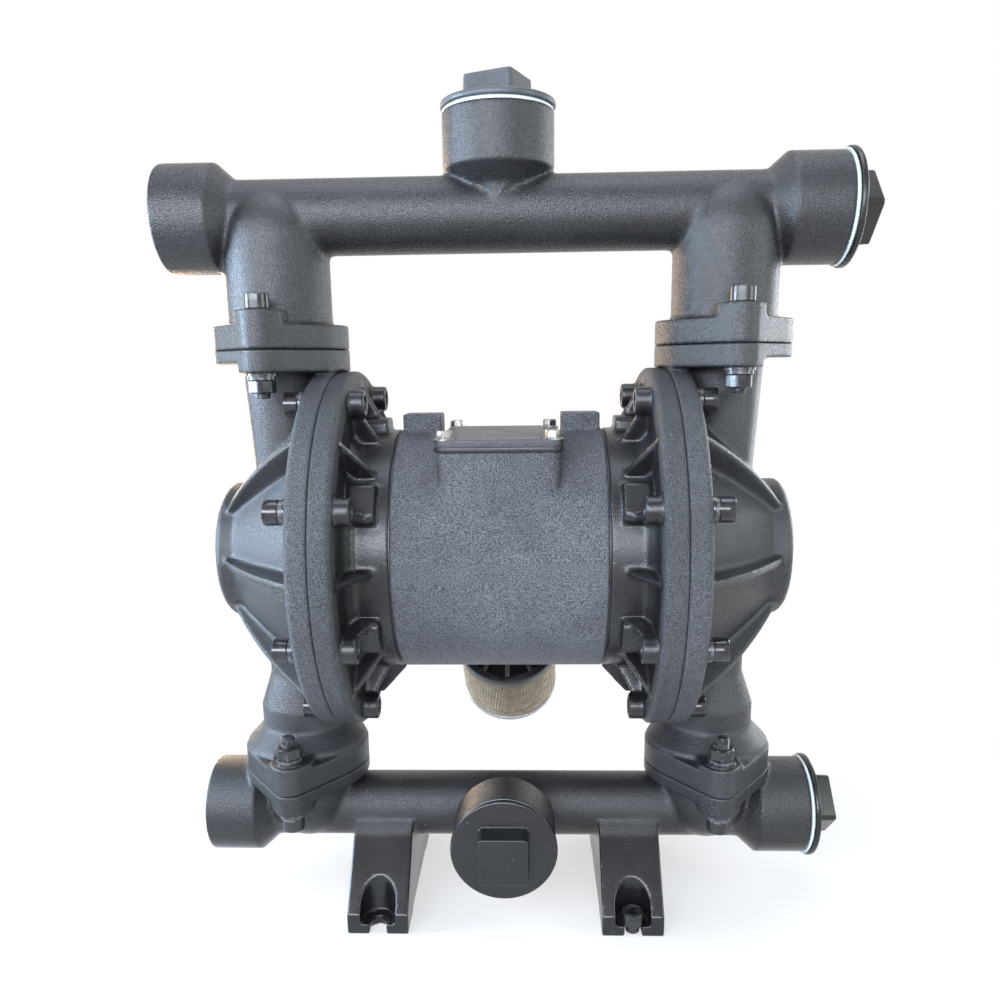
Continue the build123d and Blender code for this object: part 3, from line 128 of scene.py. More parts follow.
(_, _, OUTLET_Z), PORT_CORE_R, _ = mount("outlet_port")
(_, _, INLET_Z), _, _ = mount("inlet_port")
(_, AIR_PORT_Y, AIR_PORT_Z), AIR_PORT_R, AIR_PORT_DEPTH = mount("air_inlet")
SHAFT_Z = middle("diaphragm_shaft", "Z")
LEG_X = high("upper_clamp_bolts", "X") - HEAD_R
CLAMP_Y = high("clamp_nuts", "Y") - NUT_FLATS / 2
PORT_FACE_X = high("upper_manifold", "X")
TOP_PORT_Z = high("upper_manifold", "Z")
FRONT_PORT_Y = low("plug_seals", "Y") + PLUG_SEAL
CHAMBER_FACE_X = high("chamber_washers", "X") - CHAMBER_WASHER
CHAMBER_RIM_R = high("right_air_chamber", "Y")
DIAPHRAGM_X = high("right_air_chamber", "X")
DIAPHRAGM_THICK = 2 * (high("right_diaphragm", "X") - DIAPHRAGM_X)
DIAPHRAGM_RIM_R = high("right_diaphragm", "Z") - SHAFT_Z
FOLD_IN_R = high("right_inner_plate", "Y") + PLATE_MARGIN
FOLD_DEPTH = DIAPHRAGM_X - DIAPHRAGM_THICK / 2 - low("right_diaphragm", "X")
UPPER_HEAD_Z = high("upper_clamp_bolts", "Z") - HEAD_HEIGHT
NECK_PAD_Z = high("clamp_washers", "Z")
SOCKET_PAD_Z = low("clamp_washers", "Z") + FLAT_WASHER
COLLAR_PAD_Z = low("clamp_nuts", "Z") - SPRING_WASHER - FLAT_WASHER
COVER_SEAT_Z = high("valve_cover_bolts", "Z") - COVER_HEAD
COVER_BOLT_X = high("valve_cover_bolts", "X") - COVER_FLANGE_R
COVER_BOLT_Y = (
    low("valve_cover_bolts", "Y") + COVER_FLANGE_R,
    high("valve_cover_bolts", "Y") - COVER_FLANGE_R,
)
MUFFLER_R = high("muffler_mesh", "X")
FOOT_X = high("foot_screw", "X") - HEAD_R
FOOT_SLOT_Y = middle("foot_screw", "Y")
FOOT_RECESS_Z = high("foot_screw", "Z") - HEAD_HEIGHT


class PumpSizes(bpy.types.PropertyGroup):
    """Sizes of the details that are modelled here."""

    diaphragm_sectors: bpy.props.IntProperty(
        name="Diaphragm sectors",
        description="Number of sectors that each diaphragm is split into, so that it flexes all round",
        default=12,
    )
    casting_grain: bpy.props.FloatProperty(
        name="Casting mesh size",
        description="Edge length of the mesh that the castings are rebuilt with",
        default=1.25 * MM,
        unit="LENGTH",
    )
    leg_fillet_rounds: bpy.props.IntProperty(
        name="Leg fillet rounds",
        description="How often the corners are filled out where legs and bosses meet a manifold's tube",
        default=10,
        min=0,
    )
    pipe_pitch: bpy.props.FloatProperty(
        name="Pipe thread pitch",
        description="Pitch of the thread in the two open ports",
        default=2.309 * MM,
        unit="LENGTH",
    )
    air_pitch: bpy.props.FloatProperty(
        name="Air port pitch",
        description="Pitch of the thread in the air port",
        default=1.814 * MM,
        unit="LENGTH",
    )
    bolt_pitch: bpy.props.FloatProperty(
        name="Bolt thread pitch",
        description="Pitch of the thread on the clamp bolts",
        default=1.5 * MM,
        unit="LENGTH",
    )
    mesh_wires: bpy.props.IntProperty(
        name="Wires each way",
        description="Number of wires that wind each way round the muffler",
        default=96,
        min=8,
    )
    mesh_wire_r: bpy.props.FloatProperty(
        name="Wire radius",
        description="Radius of one wire of the muffler's mesh",
        default=0.46 * MM,
        unit="LENGTH",
    )


class PumpColours(bpy.types.PropertyGroup):
    """Main colours of the finishes."""

    coat: bpy.props.FloatVectorProperty(
        name="Powder coat",
        description="Colour of the coat on the castings",
        subtype="COLOR",
        size=3,
        default=(0.012, 0.0125, 0.014),
        min=0,
        max=1,
    )
    bolt_black: bpy.props.FloatVectorProperty(
        name="Black screws",
        description="Colour of the blackened steel screws",
        subtype="COLOR",
        size=3,
        default=(0.012, 0.012, 0.013),
        min=0,
        max=1,
    )
    zinc: bpy.props.FloatVectorProperty(
        name="Zinc",
        description="Colour of the zinc plated cover bolts",
        subtype="COLOR",
        size=3,
        default=(0.40, 0.39, 0.36),
        min=0,
        max=1,
    )
    mesh_wire: bpy.props.FloatVectorProperty(
        name="Muffler wire",
        description="Colour of the muffler's woven wire",
        subtype="COLOR",
        size=3,
        default=(0.62, 0.54, 0.42),
        min=0,
        max=1,
    )
    seal_white: bpy.props.FloatVectorProperty(
        name="White seal",
        description="Colour of the sealing rings under the plugs",
        subtype="COLOR",
        size=3,
        default=(0.62, 0.68, 0.70),
        min=0,
        max=1,
    )


def sizes():
    """The sizes that a user may change."""
    return bpy.context.scene.pump_sizes


def colours():
    """The colours that a user may change."""
    return bpy.context.scene.pump_colours


# Shader maths


class Wire:
    """One output of a node, usable in sums with numbers and other wires."""

    def __init__(self, graph, socket):
        self.graph = graph
        self.socket = socket

    def _maths(self, operation, first, second):
        return self.graph.node("ShaderNodeMath", {"operation": operation}, {0: first, 1: second})

    def __add__(self, other):
        return self._maths("ADD", self, other)

    __radd__ = __add__

    def __sub__(self, other):
        return self._maths("SUBTRACT", self, other)

    def __rsub__(self, other):
        return self._maths("SUBTRACT", other, self)

    def __mul__(self, other):
        return self._maths("MULTIPLY", self, other)

    __rmul__ = __mul__


class Graph:
    """A node tree that is built node by node."""

    def __init__(self, owner):
        owner.use_nodes = True
        self.tree = owner.node_tree
        self.tree.nodes.clear()

    def node(self, kind, settings=None, inputs=None, output=0):
        """Add a node: settings first, then the values or wires of its sockets."""
        made = self.tree.nodes.new(kind)
        for key, value in (settings or {}).items():
            setattr(made, key, value)
        for key, value in (inputs or {}).items():
            self.feed(made.inputs[key], value)
        return Wire(self, made.outputs[output]) if made.outputs else made

    def feed(self, socket, value):
        """Give a socket a wire, a colour or a number."""
        if isinstance(value, Wire):
            self.tree.links.new(value.socket, socket)
        elif hasattr(value, "__len__") and len(value) == 3 and socket.type == "RGBA":
            socket.default_value = (*value, 1)
        else:
            socket.default_value = value

    def ramp(self, value, start, stop):
        """A wire eased from one (place, level) to another."""
        return self.node(
            "ShaderNodeMapRange",
            {"interpolation_type": "SMOOTHSTEP"},
            {0: value, 1: start[0], 2: stop[0], 3: start[1], 4: stop[1]},
        )

    def mix(self, factor, first, second):
        """The first colour where factor is zero, the second where it is one."""
        return self.node(
            "ShaderNodeMix",
            {"data_type": "RGBA"},
            {0: factor, 6: first, 7: second},
            output=2,
        )

    def background_rays(self):
        """One for the rays that show the background: seen directly, mirrored or through glass."""
        rays = ("Is Camera Ray", "Is Glossy Ray", "Is Transmission Ray")
        return sum(self.node("ShaderNodeLightPath", output=ray) for ray in rays)


class Finish(Graph):
    """A material with one Principled shader."""

    def __init__(self, name):
        self.material = bpy.data.materials.new(name)
        super().__init__(self.material)
        self.shader = self.tree.nodes.new("ShaderNodeBsdfPrincipled")
        self.output = self.tree.nodes.new("ShaderNodeOutputMaterial")
        self.tree.links.new(self.shader.outputs[0], self.output.inputs[0])

    def set(self, **inputs):
        """Feed the Principled shader's sockets; underscores stand for spaces."""
        for key, value in inputs.items():
            self.feed(self.shader.inputs[key.replace("_", " ")], value)

    def place(self):
        """The point of the surface, in the pump's own frame."""
        return self.node("ShaderNodeTexCoord", output="Object")

    def noise(self, per_mm, detail=2.0, rough=0.5, stretch=None):
        """Noise with this many grains per millimetre."""
        place = self.place()
        if stretch:
            place = self.node("ShaderNodeMapping", inputs={"Vector": place, "Scale": stretch})
        return self.node(
            "ShaderNodeTexNoise",
            inputs={"Vector": place, "Scale": per_mm / MM, "Detail": detail, "Roughness": rough},
        )

    def bump(self, *layers):
        """Stack bumps of (height wire, depth in millimetres, strength)."""
        normal = None
        for height, depth, strength in layers:
            inputs = {"Height": height, "Distance": depth * MM, "Strength": strength}
            if normal:
                inputs["Normal"] = normal
            normal = self.node("ShaderNodeBump", inputs=inputs)
        self.set(Normal=normal)


def tint(colour, factor):
    """A colour made darker or lighter."""
    return tuple(channel * factor for channel in colour)


# Grain height in millimetres, how much peaks and pits differ (in roughness, and in colour, where the pits
# are painted darker as shade and the peaks paler as glints), roughness, and how pale the black is
Coat = namedtuple("Coat", "grain contrast rough shade")
SANDY = Coat(grain=1.4, contrast=1.0, rough=0.44, shade=6.0)
SATIN = Coat(grain=0.5, contrast=0.8, rough=0.33, shade=1.5)
SMOOTH = Coat(grain=0.16, contrast=0.6, rough=0.30, shade=0.7)


def powder_coat(name, coat, other=None, where=None, speckle=0.5, shine=0.5):
    """Black powder coat, rubbed pale on its sharp edges, its grain painted darker in the pits as shade and
    paler on the peaks as glints; other is the coat where this mask is one.
    """
    finish = Finish(name)
    mask = where(finish) if where else 0

    def level(field):
        first = getattr(coat, field)
        return first + mask * (getattr(other, field) - first) if where else first

    sand = finish.noise(1.1, 2.0, 0.7)
    patch = finish.noise(0.018, 3.0, 0.55)
    scuff = finish.noise(0.11, 5.0, 0.7)
    dust = finish.noise(0.45, 2.0, 0.5)
    edge = finish.node("ShaderNodeNewGeometry", output="Pointiness")
    rubbed = finish.ramp(edge, (0.535, 0), (0.60, 1)) * finish.ramp(scuff, (0.42, 0.1), (0.62, 1))
    specks = finish.ramp(dust, (0.765, 0), (0.80, 1)) * speckle
    peaks = finish.ramp(sand, (0.30, 0), (0.70, 1))
    clouds = finish.ramp(patch, (0.35, -0.15), (0.65, 0.15)) + 1

    # The grain's colour follows the bump's height: painted shade in the pits and painted glints on the
    # peaks
    def pit_shaded_grain(kind):
        shade = tint(colours().coat, kind.shade)
        return finish.mix(peaks, tint(shade, 1 - 0.9 * kind.contrast), tint(shade, 1 + 1.2 * kind.contrast))

    colour = finish.mix(mask, pit_shaded_grain(coat), pit_shaded_grain(other)) if where else pit_shaded_grain(coat)
    colour = finish.node("ShaderNodeVectorMath", {"operation": "SCALE"}, {0: colour, "Scale": clouds})
    colour = finish.mix(rubbed * 0.35, colour, (0.16, 0.16, 0.165))
    gloss = finish.ramp(patch, (0.3, -0.04), (0.7, 0.05)) - rubbed * 0.08
    gloss = gloss + (0.5 - peaks) * (level("contrast") * 0.25)
    finish.set(
        Base_Color=finish.mix(specks, colour, (0.42, 0.41, 0.38)),
        Roughness=gloss + level("rough"),
        Metallic=0.0,
        Specular_IOR_Level=shine,
    )
    grain = level("grain")
    finish.bump((patch, 0.8, 0.15), (sand * grain, 1.0, 1.0))
    return finish.material


def on_rims(finish):
    """One on the bolted rims of the chambers, zero on their domes and ribs."""

    def within(value, start, stop, ease):
        """One between two distances, easing in before the start and out after the stop."""
        inner = finish.ramp(value, ((start - ease) * MM, 0), (start * MM, 1))
        return inner * finish.ramp(value, (stop * MM, 1), ((stop + 0.6) * MM, 0))

    x, y, z = (finish.node("ShaderNodeSeparateXYZ", inputs={0: finish.place()}, output=n) for n in "XYZ")
    distance = finish.node("ShaderNodeMath", {"operation": "ABSOLUTE"}, {0: x})
    arm = finish.node("ShaderNodeCombineXYZ", inputs={0: y, 1: z - SHAFT_Z * MM})
    reach = finish.node("ShaderNodeVectorMath", {"operation": "LENGTH"}, {0: arm}, output="Value")
    across = within(distance, RIM_BACK_X, CHAMBER_FACE_X, 0.6)
    return across * within(reach, CHAMBER_RIM_R - 14, CHAMBER_RIM_R + 0.4, 2.0)


def on_feet(finish):
    """One on the feet of the lower manifold, whose coat is painted darker there as shade."""
    height = finish.node("ShaderNodeSeparateXYZ", inputs={0: finish.place()}, output="Z")
    return finish.ramp(height, ((INLET_Z - 13) * MM, 1), ((INLET_Z - 5) * MM, 0))


def black_steel(name, rough):
    """Blackened steel with a slightly oily gloss."""
    finish = Finish(name)
    cloud = finish.noise(0.25, 3.0, 0.6)
    fine = finish.noise(3.0, 2.0, 0.5)
    edge = finish.node("ShaderNodeNewGeometry", output="Pointiness")
    rubbed = finish.ramp(edge, (0.56, 0), (0.66, 1)) * finish.ramp(cloud, (0.4, 0.2), (0.6, 1))
    black = colours().bolt_black
    base = finish.mix(finish.ramp(cloud, (0.3, 0), (0.7, 1)), tint(black, 0.8), tint(black, 1.9))
    finish.set(
        Base_Color=finish.mix(rubbed * 0.55, base, (0.20, 0.20, 0.205)),
        Roughness=finish.ramp(cloud, (0.3, rough - 0.07), (0.7, rough + 0.1)),
        Metallic=0.0,
        Specular_IOR_Level=0.55,
    )
    finish.bump((fine, 0.01, 0.3))
    return finish.material


def plated(name, colour, rough, stain=0.25):
    """Bare or plated metal with clouded brightness and fine scratches."""
    finish = Finish(name)
    cloud = finish.noise(0.16, 4.0, 0.6)
    scratch = finish.noise(0.5, 3.0, 0.5, (1.0, 1.0, 14.0))
    base = finish.mix(finish.ramp(cloud, (0.35, 0), (0.7, stain)), colour, tint(colour, 0.45))
    finish.set(
        Base_Color=base,
        Roughness=finish.ramp(cloud, (0.3, rough - 0.07), (0.7, rough + 0.12)) + scratch * 0.05,
        Metallic=1.0,
    )
    finish.bump((scratch, 0.02, 0.3))
    return finish.material


def plastic(name, colour, rough):
    """Moulded plastic, PTFE or rubber."""
    finish = Finish(name)
    cloud = finish.noise(0.08, 3.0, 0.6)
    fine = finish.noise(1.6, 2.0, 0.5)
    base = finish.mix(finish.ramp(cloud, (0.35, 0), (0.7, 1)), tint(colour, 0.86), tint(colour, 1.06))
    finish.set(
        Base_Color=base,
        Roughness=finish.ramp(cloud, (0.3, rough - 0.05), (0.7, rough + 0.08)),
        Metallic=0.0,
    )
    finish.bump((fine, 0.03, 0.35))
    return finish.material


FINISHES = {}


def make_finishes():
    """Make every finish of the pump."""
    shades = colours()
    FINISHES.update(
        sandy=powder_coat("sandy coat", SANDY),
        glossy=powder_coat("glossy coat", Coat(0.42, 0.9, 0.27, 1.0)),
        rimmed=powder_coat("rimmed coat", SATIN, SANDY._replace(shade=3.2), on_rims),
        smooth=powder_coat("smooth coat", SMOOTH, SANDY._replace(shade=2.5), on_rims, speckle=0.8),
        # On the feet the coat is glossier and painted half as pale, as painted shade
        footed=powder_coat("footed coat", SATIN._replace(shade=1.0), Coat(0.08, 0.3, 0.22, 0.5), on_feet),
        plug=powder_coat("plug coat", Coat(0.1, 0.3, 0.28, 0.5), speckle=0.7),
        # The top plug's coat is rougher and painted nine times paler than the other plugs' coat, as painted
        # light
        matt_plug=powder_coat("matt plug coat painted light", Coat(0.15, 0.4, 0.42, 4.5), speckle=0.7),
        cover=powder_coat("cover coat", Coat(0.5, 0.8, 0.40, 3.2), speckle=0.3),
        bolt=black_steel("black steel", 0.13),
        dull_bolt=black_steel("dull black steel", 0.26),
        zinc=plated("zinc plate", tuple(shades.zinc), 0.34, 0.6),
        steel=plated("bright steel", (0.46, 0.455, 0.44), 0.30),
        aluminium=plated("machined aluminium", (0.70, 0.70, 0.71), 0.34),
        bronze=plated("bronze", (0.52, 0.33, 0.15), 0.4),
        wire=plated("muffler wire", tuple(shades.mesh_wire), 0.42, 0.5),
        seal=plastic("white seal", tuple(shades.seal_white), 0.4),
        rubber=plastic("black rubber", (0.016, 0.016, 0.017), 0.36),
        moulding=plastic("black moulding", (0.010, 0.010, 0.011), 0.34),
        backing=plastic("muffler felt", (0.020, 0.018, 0.015), 0.7),
        thread=powder_coat("thread coat", Coat(0.2, 0.3, 0.35, 1.2), speckle=0.0),
    )


# Meshes


def copy_of(node):
    """A merged copy of a CAD node's mesh."""
    bm = bmesh.new()
    bm.from_mesh(frame["nodes"][node].data)
    bmesh.ops.remove_doubles(bm, verts=bm.verts, dist=0.01 * MM)
    return bm


def paint(mesh, look):
    """Give a mesh one finish."""
    mesh.materials.clear()
    mesh.materials.append(FINISHES[look])


def show(name, bm, look, nodes, body="pump", flat_angle=35.0):
    """Make a bmesh a finished piece that rides on a body, if one is named, and stands for CAD nodes."""
    return show_mesh(name, as_mesh(bm), look, nodes, body, flat_angle)


def show_mesh(name, mesh, look, nodes, body="pump", flat_angle=35.0):
    """Make a mesh a finished piece, with edges kept crisp above the flat angle."""
    mesh.name = name
    paint(mesh, look)
    mesh.shade_smooth()
    mesh.set_sharp_from_angle(angle=radians(flat_angle))
    piece = bpy.data.objects.new(name, mesh)
    bpy.context.scene.collection.objects.link(piece)
    if body:
        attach(piece, body)
    if nodes:
        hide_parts(*nodes)
    return piece


def as_mesh(bm):
    """A mesh made from a bmesh, which is used up."""
    mesh = bpy.data.meshes.new("part")
    bm.to_mesh(mesh)
    bm.free()
    return mesh


def gathered(single, places):
    """Copies of one bmesh at each place, in one bmesh; the single one is used up."""
    mesh = as_mesh(single)
    bm = bmesh.new()
    for place in places:
        known = len(bm.verts)
        bm.from_mesh(mesh)
        bm.verts.ensure_lookup_table()
        bmesh.ops.transform(bm, matrix=place, verts=bm.verts[known:])
    bpy.data.meshes.remove(mesh)
    return bm


def add_to(bm, other):
    """Add one bmesh to another; the other is used up."""
    mesh = as_mesh(other)
    bm.from_mesh(mesh)
    bpy.data.meshes.remove(mesh)


def outline(bm, points):
    """Points of (radius, height) in millimetres, joined in a ring beside the Z axis."""
    ring = [bm.verts.new((r * MM, 0, z * MM)) for r, z in points]
    return ring + [bm.edges.new((a, b)) for a, b in zip(ring, ring[1:] + ring[:1])]


def turned(profile, segments=48):
    """A closed profile of (radius, height) turned about Z."""
    bm = bmesh.new()
    bmesh.ops.spin(
        bm,
        geom=outline(bm, profile),
        cent=(0, 0, 0),
        axis=(0, 0, 1),
        angle=2 * pi,
        steps=segments,
        use_merge=True,
    )
    bmesh.ops.remove_doubles(bm, verts=bm.verts, dist=0.002 * MM)
    bmesh.ops.dissolve_degenerate(bm, edges=bm.edges, dist=0.001 * MM)
    bmesh.ops.recalc_face_normals(bm, faces=bm.faces)
    return bm


def swept(section, angle, steps, rise=0.0):
    """A section of (radius, height) swept about Z with both ends closed, climbing by rise at each step."""
    bm = bmesh.new()
    ring = outline(bm, section)
    bmesh.ops.spin(
        bm,
        geom=ring + [bm.faces.new(ring[: len(section)])],
        cent=(0, 0, 0),
        axis=(0, 0, 1),
        dvec=(0, 0, rise),
        angle=angle,
        steps=steps,
    )
    bmesh.ops.holes_fill(bm, edges=[e for e in bm.edges if e.is_boundary], sides=8)
    bmesh.ops.recalc_face_normals(bm, faces=bm.faces)
    return bm


def helix(section, pitch, turns, steps_per_turn):
    """A section of (radius, height) swept up a helix about Z, whose pitch is in metres."""
    return swept(section, 2 * pi * turns, round(turns * steps_per_turn), pitch / steps_per_turn)


def at_radius(bm, radius, bottom=-1e9, top=1e9):
    """The points at this distance from Z, between two heights."""
    near = [v for v in bm.verts if abs(v.co.xy.length - radius * MM) < 0.02 * MM]
    return [v for v in near if bottom * MM <= v.co.z <= top * MM]


def push(v, scale):
    """Move a point away from Z."""
    v.co.x *= scale
    v.co.y *= scale


def hexed(bm, radius, flats, tip=None):
    """Move the turned points at this radius out to a hexagon, no further than tip."""
    for v in at_radius(bm, radius):
        reach = flats / 2 / cos(atan2(v.co.y, v.co.x) % (pi / 3) - pi / 6)
        if tip:
            reach = min(reach, tip)
        push(v, reach * MM / v.co.xy.length)


def knurled(bm, radius, depth, bottom, top, segments):
    """Press every second point at this radius inwards."""
    for v in at_radius(bm, radius, bottom, top):
        if round(atan2(v.co.y, v.co.x) / (2 * pi / segments)) % 2:
            push(v, (radius - depth) / radius)


def along(origin, direction, turn=0.0):
    """A placement in millimetres whose Z runs along direction, turned about it."""
    facing = Vector(direction).to_track_quat("Z", "Y").to_matrix().to_4x4()
    return Matrix.Translation(Vector(origin) * MM) @ facing @ Matrix.Rotation(radians(turn), 4, "Z")


def chamber_places(distance):
    """The sixteen bolt places round both chambers, looking outwards."""
    places = []
    for side in SIDES:
        for step in range(8):
            angle = radians(22.5 + 45 * step)
            spot = (side * distance, CHAMBER_BOLT_R * cos(angle), SHAFT_Z + CHAMBER_BOLT_R * sin(angle))
            places.append(along(spot, (side, 0, 0), 17.0 * step + 9 * side))
    return places


def clamp_places(height, down=False, turn=0.0):
    """The four clamp bolt places at this height."""
    direction = (0, 0, -1) if down else (0, 0, 1)
    return [
        along((x * LEG_X, y * CLAMP_Y, height), direction, turn + 23 * x + 11 * y)
        for x in SIDES
        for y in SIDES
    ]


def socket_head(shank_r, shank):
    """M10 socket head screw: bearing face on Z = 0, head up, shank down."""
    segments = 60
    knurl_bottom, knurl_top = 0.9, HEAD_HEIGHT - 1.1
    floor = HEAD_HEIGHT * 0.45
    key_r = HEAD_KEY * 0.54
    profile = [
        (0, floor - HEAD_KEY * 0.12),
        (key_r * 0.55, floor),
        (key_r, floor),
        (key_r, HEAD_HEIGHT - 0.5),
        (key_r + 0.6, HEAD_HEIGHT),
        (HEAD_R - 1.0, HEAD_HEIGHT),
        (HEAD_R - 0.55, HEAD_HEIGHT - 0.12),
        (HEAD_R - 0.15, HEAD_HEIGHT - 0.5),
        (HEAD_R, knurl_top),
        (HEAD_R, HEAD_HEIGHT * 0.5),
        (HEAD_R, knurl_bottom),
        (HEAD_R - 0.35, 0.25),
        (HEAD_R - 0.8, 0),
        (shank_r, 0),
        (shank_r, 0.5 - shank),
        (shank_r - 0.5, -shank),
        (0, -shank),
    ]
    bm = turned(profile, segments)
    hexed(bm, key_r, HEAD_KEY)
    knurled(bm, HEAD_R, depth=0.08, bottom=knurl_bottom, top=knurl_top, segments=segments)
    return bm


def thread_on(bm, radius, bottom, top, pitch):
    """Add a ridge round a bolt end between two heights."""
    rise = pitch / MM
    section = [
        (radius - 0.75, bottom),
        (radius + 0.02, bottom + rise * 0.36),
        (radius + 0.02, bottom + rise * 0.50),
        (radius - 0.75, bottom + rise * 0.86),
    ]
    turns = (top - bottom) / rise - 0.9
    add_to(bm, helix(section, pitch, turns, steps_per_turn=28))


def flat_washer(outer, thick):
    """Turned washer with its upper edge eased."""
    bore = 5.2
    return turned([(bore, 0), (outer, 0), (outer, thick - 0.3), (outer - 0.3, thick), (bore, thick)])


def spring_washer(outer):
    """Split washer: a thick ring cut through and slightly open."""
    bore = 5.3
    gap = 0.09
    bottom, top = 0.05, SPRING_WASHER - 0.05
    return swept([(bore, bottom), (outer, bottom), (outer, top), (bore, top)], 2 * pi - gap, 40)


def modified(mesh, *steps):
    """The mesh after these modifiers, each given as (kind, settings)."""
    holder = bpy.data.objects.new("holder", mesh)
    bpy.context.scene.collection.objects.link(holder)
    for kind, settings in steps:
        modifier = holder.modifiers.new(kind, kind)
        for key, value in settings.items():
            setattr(modifier, key, value)
    graph = bpy.context.evaluated_depsgraph_get()
    result = bpy.data.meshes.new_from_object(holder.evaluated_get(graph))
    bpy.data.objects.remove(holder)
    bpy.data.meshes.remove(mesh)
    return result


def evened(bm, size, smooths):
    """Rebuild a closed mesh from squares of an even size and relax it."""
    return modified(
        as_mesh(bm),
        ("REMESH", {"mode": "VOXEL", "voxel_size": size}),
        ("SMOOTH", {"factor": 0.5, "iterations": smooths}),
    )


def thinned(mesh, triangles):
    """Take out points where the surface is plain, down to this many triangles."""
    share = triangles / (2 * len(mesh.polygons))
    if share >= 1:
        return mesh
    return modified(mesh, ("DECIMATE", {"ratio": share}))


def fill_corners(mesh, rounds, where=None):
    """Round out inner corners: points move outwards towards the mean of their neighbours."""
    count = len(mesh.vertices)
    co = np.empty(count * 3)
    mesh.vertices.foreach_get("co", co)
    co = co.reshape(-1, 3)
    ends = np.empty(len(mesh.edges) * 2, dtype=np.int64)
    mesh.edges.foreach_get("vertices", ends)
    ends = ends.reshape(-1, 2)
    near = np.bincount(ends.ravel(), minlength=count)[:, None]
    faces = np.empty(len(mesh.loops), dtype=np.int64)
    mesh.loops.foreach_get("vertex_index", faces)
    quads = faces.reshape(-1, 4)
    weight = np.ones(count) if where is None else where(co / MM)
    for _ in range(rounds):
        total = np.zeros_like(co)
        for axis in range(3):
            total[:, axis] = np.bincount(ends[:, 0], co[ends[:, 1], axis], count)
            total[:, axis] += np.bincount(ends[:, 1], co[ends[:, 0], axis], count)
        pull = total / near - co
        flat = np.cross(co[quads[:, 2]] - co[quads[:, 0]], co[quads[:, 3]] - co[quads[:, 1]])
        normal = np.zeros_like(co)
        for axis in range(3):
            for corner in range(4):
                normal[:, axis] += np.bincount(quads[:, corner], flat[:, axis], count)
        normal /= np.linalg.norm(normal, axis=1)[:, None] + 1e-20
        outward = np.maximum((pull * normal).sum(1), 0) * weight
        co += normal * outward[:, None] * 0.8
    mesh.vertices.foreach_set("co", co.ravel())
    mesh.update()


def near_roots(co):
    """Where the legs of a manifold meet its tube, and a little at its middle boss."""
    x, z = np.abs(co[:, 0]), co[:, 2]
    upper = (z > OUTLET_Z - 56) & (z < OUTLET_Z + 39)
    lower = (z > INLET_Z - 44) & (z < INLET_Z + 16)
    leg_reach, boss_reach = 40, 50
    leg_end = LEG_X + 26.5
    legs = np.clip(1.7 - np.abs(x - LEG_X) / leg_reach, 0, 1) * np.clip((leg_end - x) / 6, 0.25, 1)
    boss = np.clip(1.5 - x / boss_reach, 0, 1) * 0.15
    return np.maximum(legs, boss) * (upper | lower)


def widen_port(bm, height):
    """Open the bore of a manifold's left port out to the root of its thread."""
    for v in bm.verts:
        arm = v.co / MM - Vector((0, 0, height))
        x = v.co.x / MM
        arm.x = 0
        on_wall = abs(arm.length - PORT_CORE_R) < 0.15
        if on_wall and -PORT_FACE_X <= x <= PORT_DEPTH + 1 - PORT_FACE_X:
            grown = arm * (PORT_CREST_R / PORT_CORE_R)
            v.co.y = grown.y * MM
            v.co.z = (height + grown.z) * MM


CASTING_TRIANGLES = 190000

# Finish, rounds that fill out the inner corners, and whether it is a manifold
CASTINGS = {
    "upper_manifold": ("glossy", 4, True),
    "lower_manifold": ("footed", 4, True),
    "left_fluid_chamber": ("rimmed", 4, False),
    "right_fluid_chamber": ("rimmed", 4, False),
    "left_air_chamber": ("smooth", 3, False),
    "right_air_chamber": ("smooth", 3, False),
    "centre_body": ("sandy", 1, False),
}


class PUMP_OT_finishes(bpy.types.Operator):
    """Make the finishes and give them to the inner pieces"""

    bl_idname = "pump.finishes"
    bl_label = "Finishes"

    inner = {
        "valve_block": "aluminium",
        "valve_spool": "steel",
        "pilot_rod": "steel",
        "diaphragm_shaft": "steel",
        "left_inner_plate": "aluminium",
        "right_inner_plate": "aluminium",
        "left_outer_plate": "aluminium",
        "right_outer_plate": "aluminium",
        "shaft_bushes": "bronze",
        "shaft_seals": "rubber",
        "body_gaskets": "rubber",
        "body_screws": "dull_bolt",
        "outlet_ball_left": "seal",
        "outlet_ball_right": "seal",
        "inlet_ball_left": "seal",
        "inlet_ball_right": "seal",
        "outlet_seats": "aluminium",
        "inlet_seats": "aluminium",
        "outlet_cages": "aluminium",
        "inlet_cages": "aluminium",
        "seat_o_rings": "rubber",
    }

    def execute(self, context):
        make_finishes()
        for node, look in self.inner.items():
            mesh = frame["nodes"][node].data
            paint(mesh, look)
            mesh.set_sharp_from_angle(angle=radians(35))
        return {"FINISHED"}


class PUMP_OT_castings(bpy.types.Operator):
    """Rebuild the castings with soft cast corners"""

    bl_idname = "pump.castings"
    bl_label = "Castings"

    def execute(self, context):
        for node, (look, rounds, manifold) in CASTINGS.items():
            bm = copy_of(node)
            if manifold:
                widen_port(bm, OUTLET_Z if node == "upper_manifold" else INLET_Z)
            mesh = evened(bm, sizes().casting_grain, 2)
            fill_corners(mesh, rounds)
            if manifold:
                fill_corners(mesh, sizes().leg_fillet_rounds, near_roots)
            mesh = thinned(mesh, CASTING_TRIANGLES)
            show_mesh(node + "_cast", mesh, look, [node], flat_angle=180.0)
        return {"FINISHED"}


def bore_thread(name, root, crest, pitch, depth, steps, place):
    """Thread inside a bore, given the radii of its root and crest."""
    rise = pitch / MM
    section = [(root, 0), (root, rise * 0.98), (crest, rise * 0.58), (crest, rise * 0.42)]
    bm = helix(section, pitch, depth / rise, steps)
    bmesh.ops.transform(bm, matrix=place, verts=bm.verts)
    show(name, bm, "thread", [])


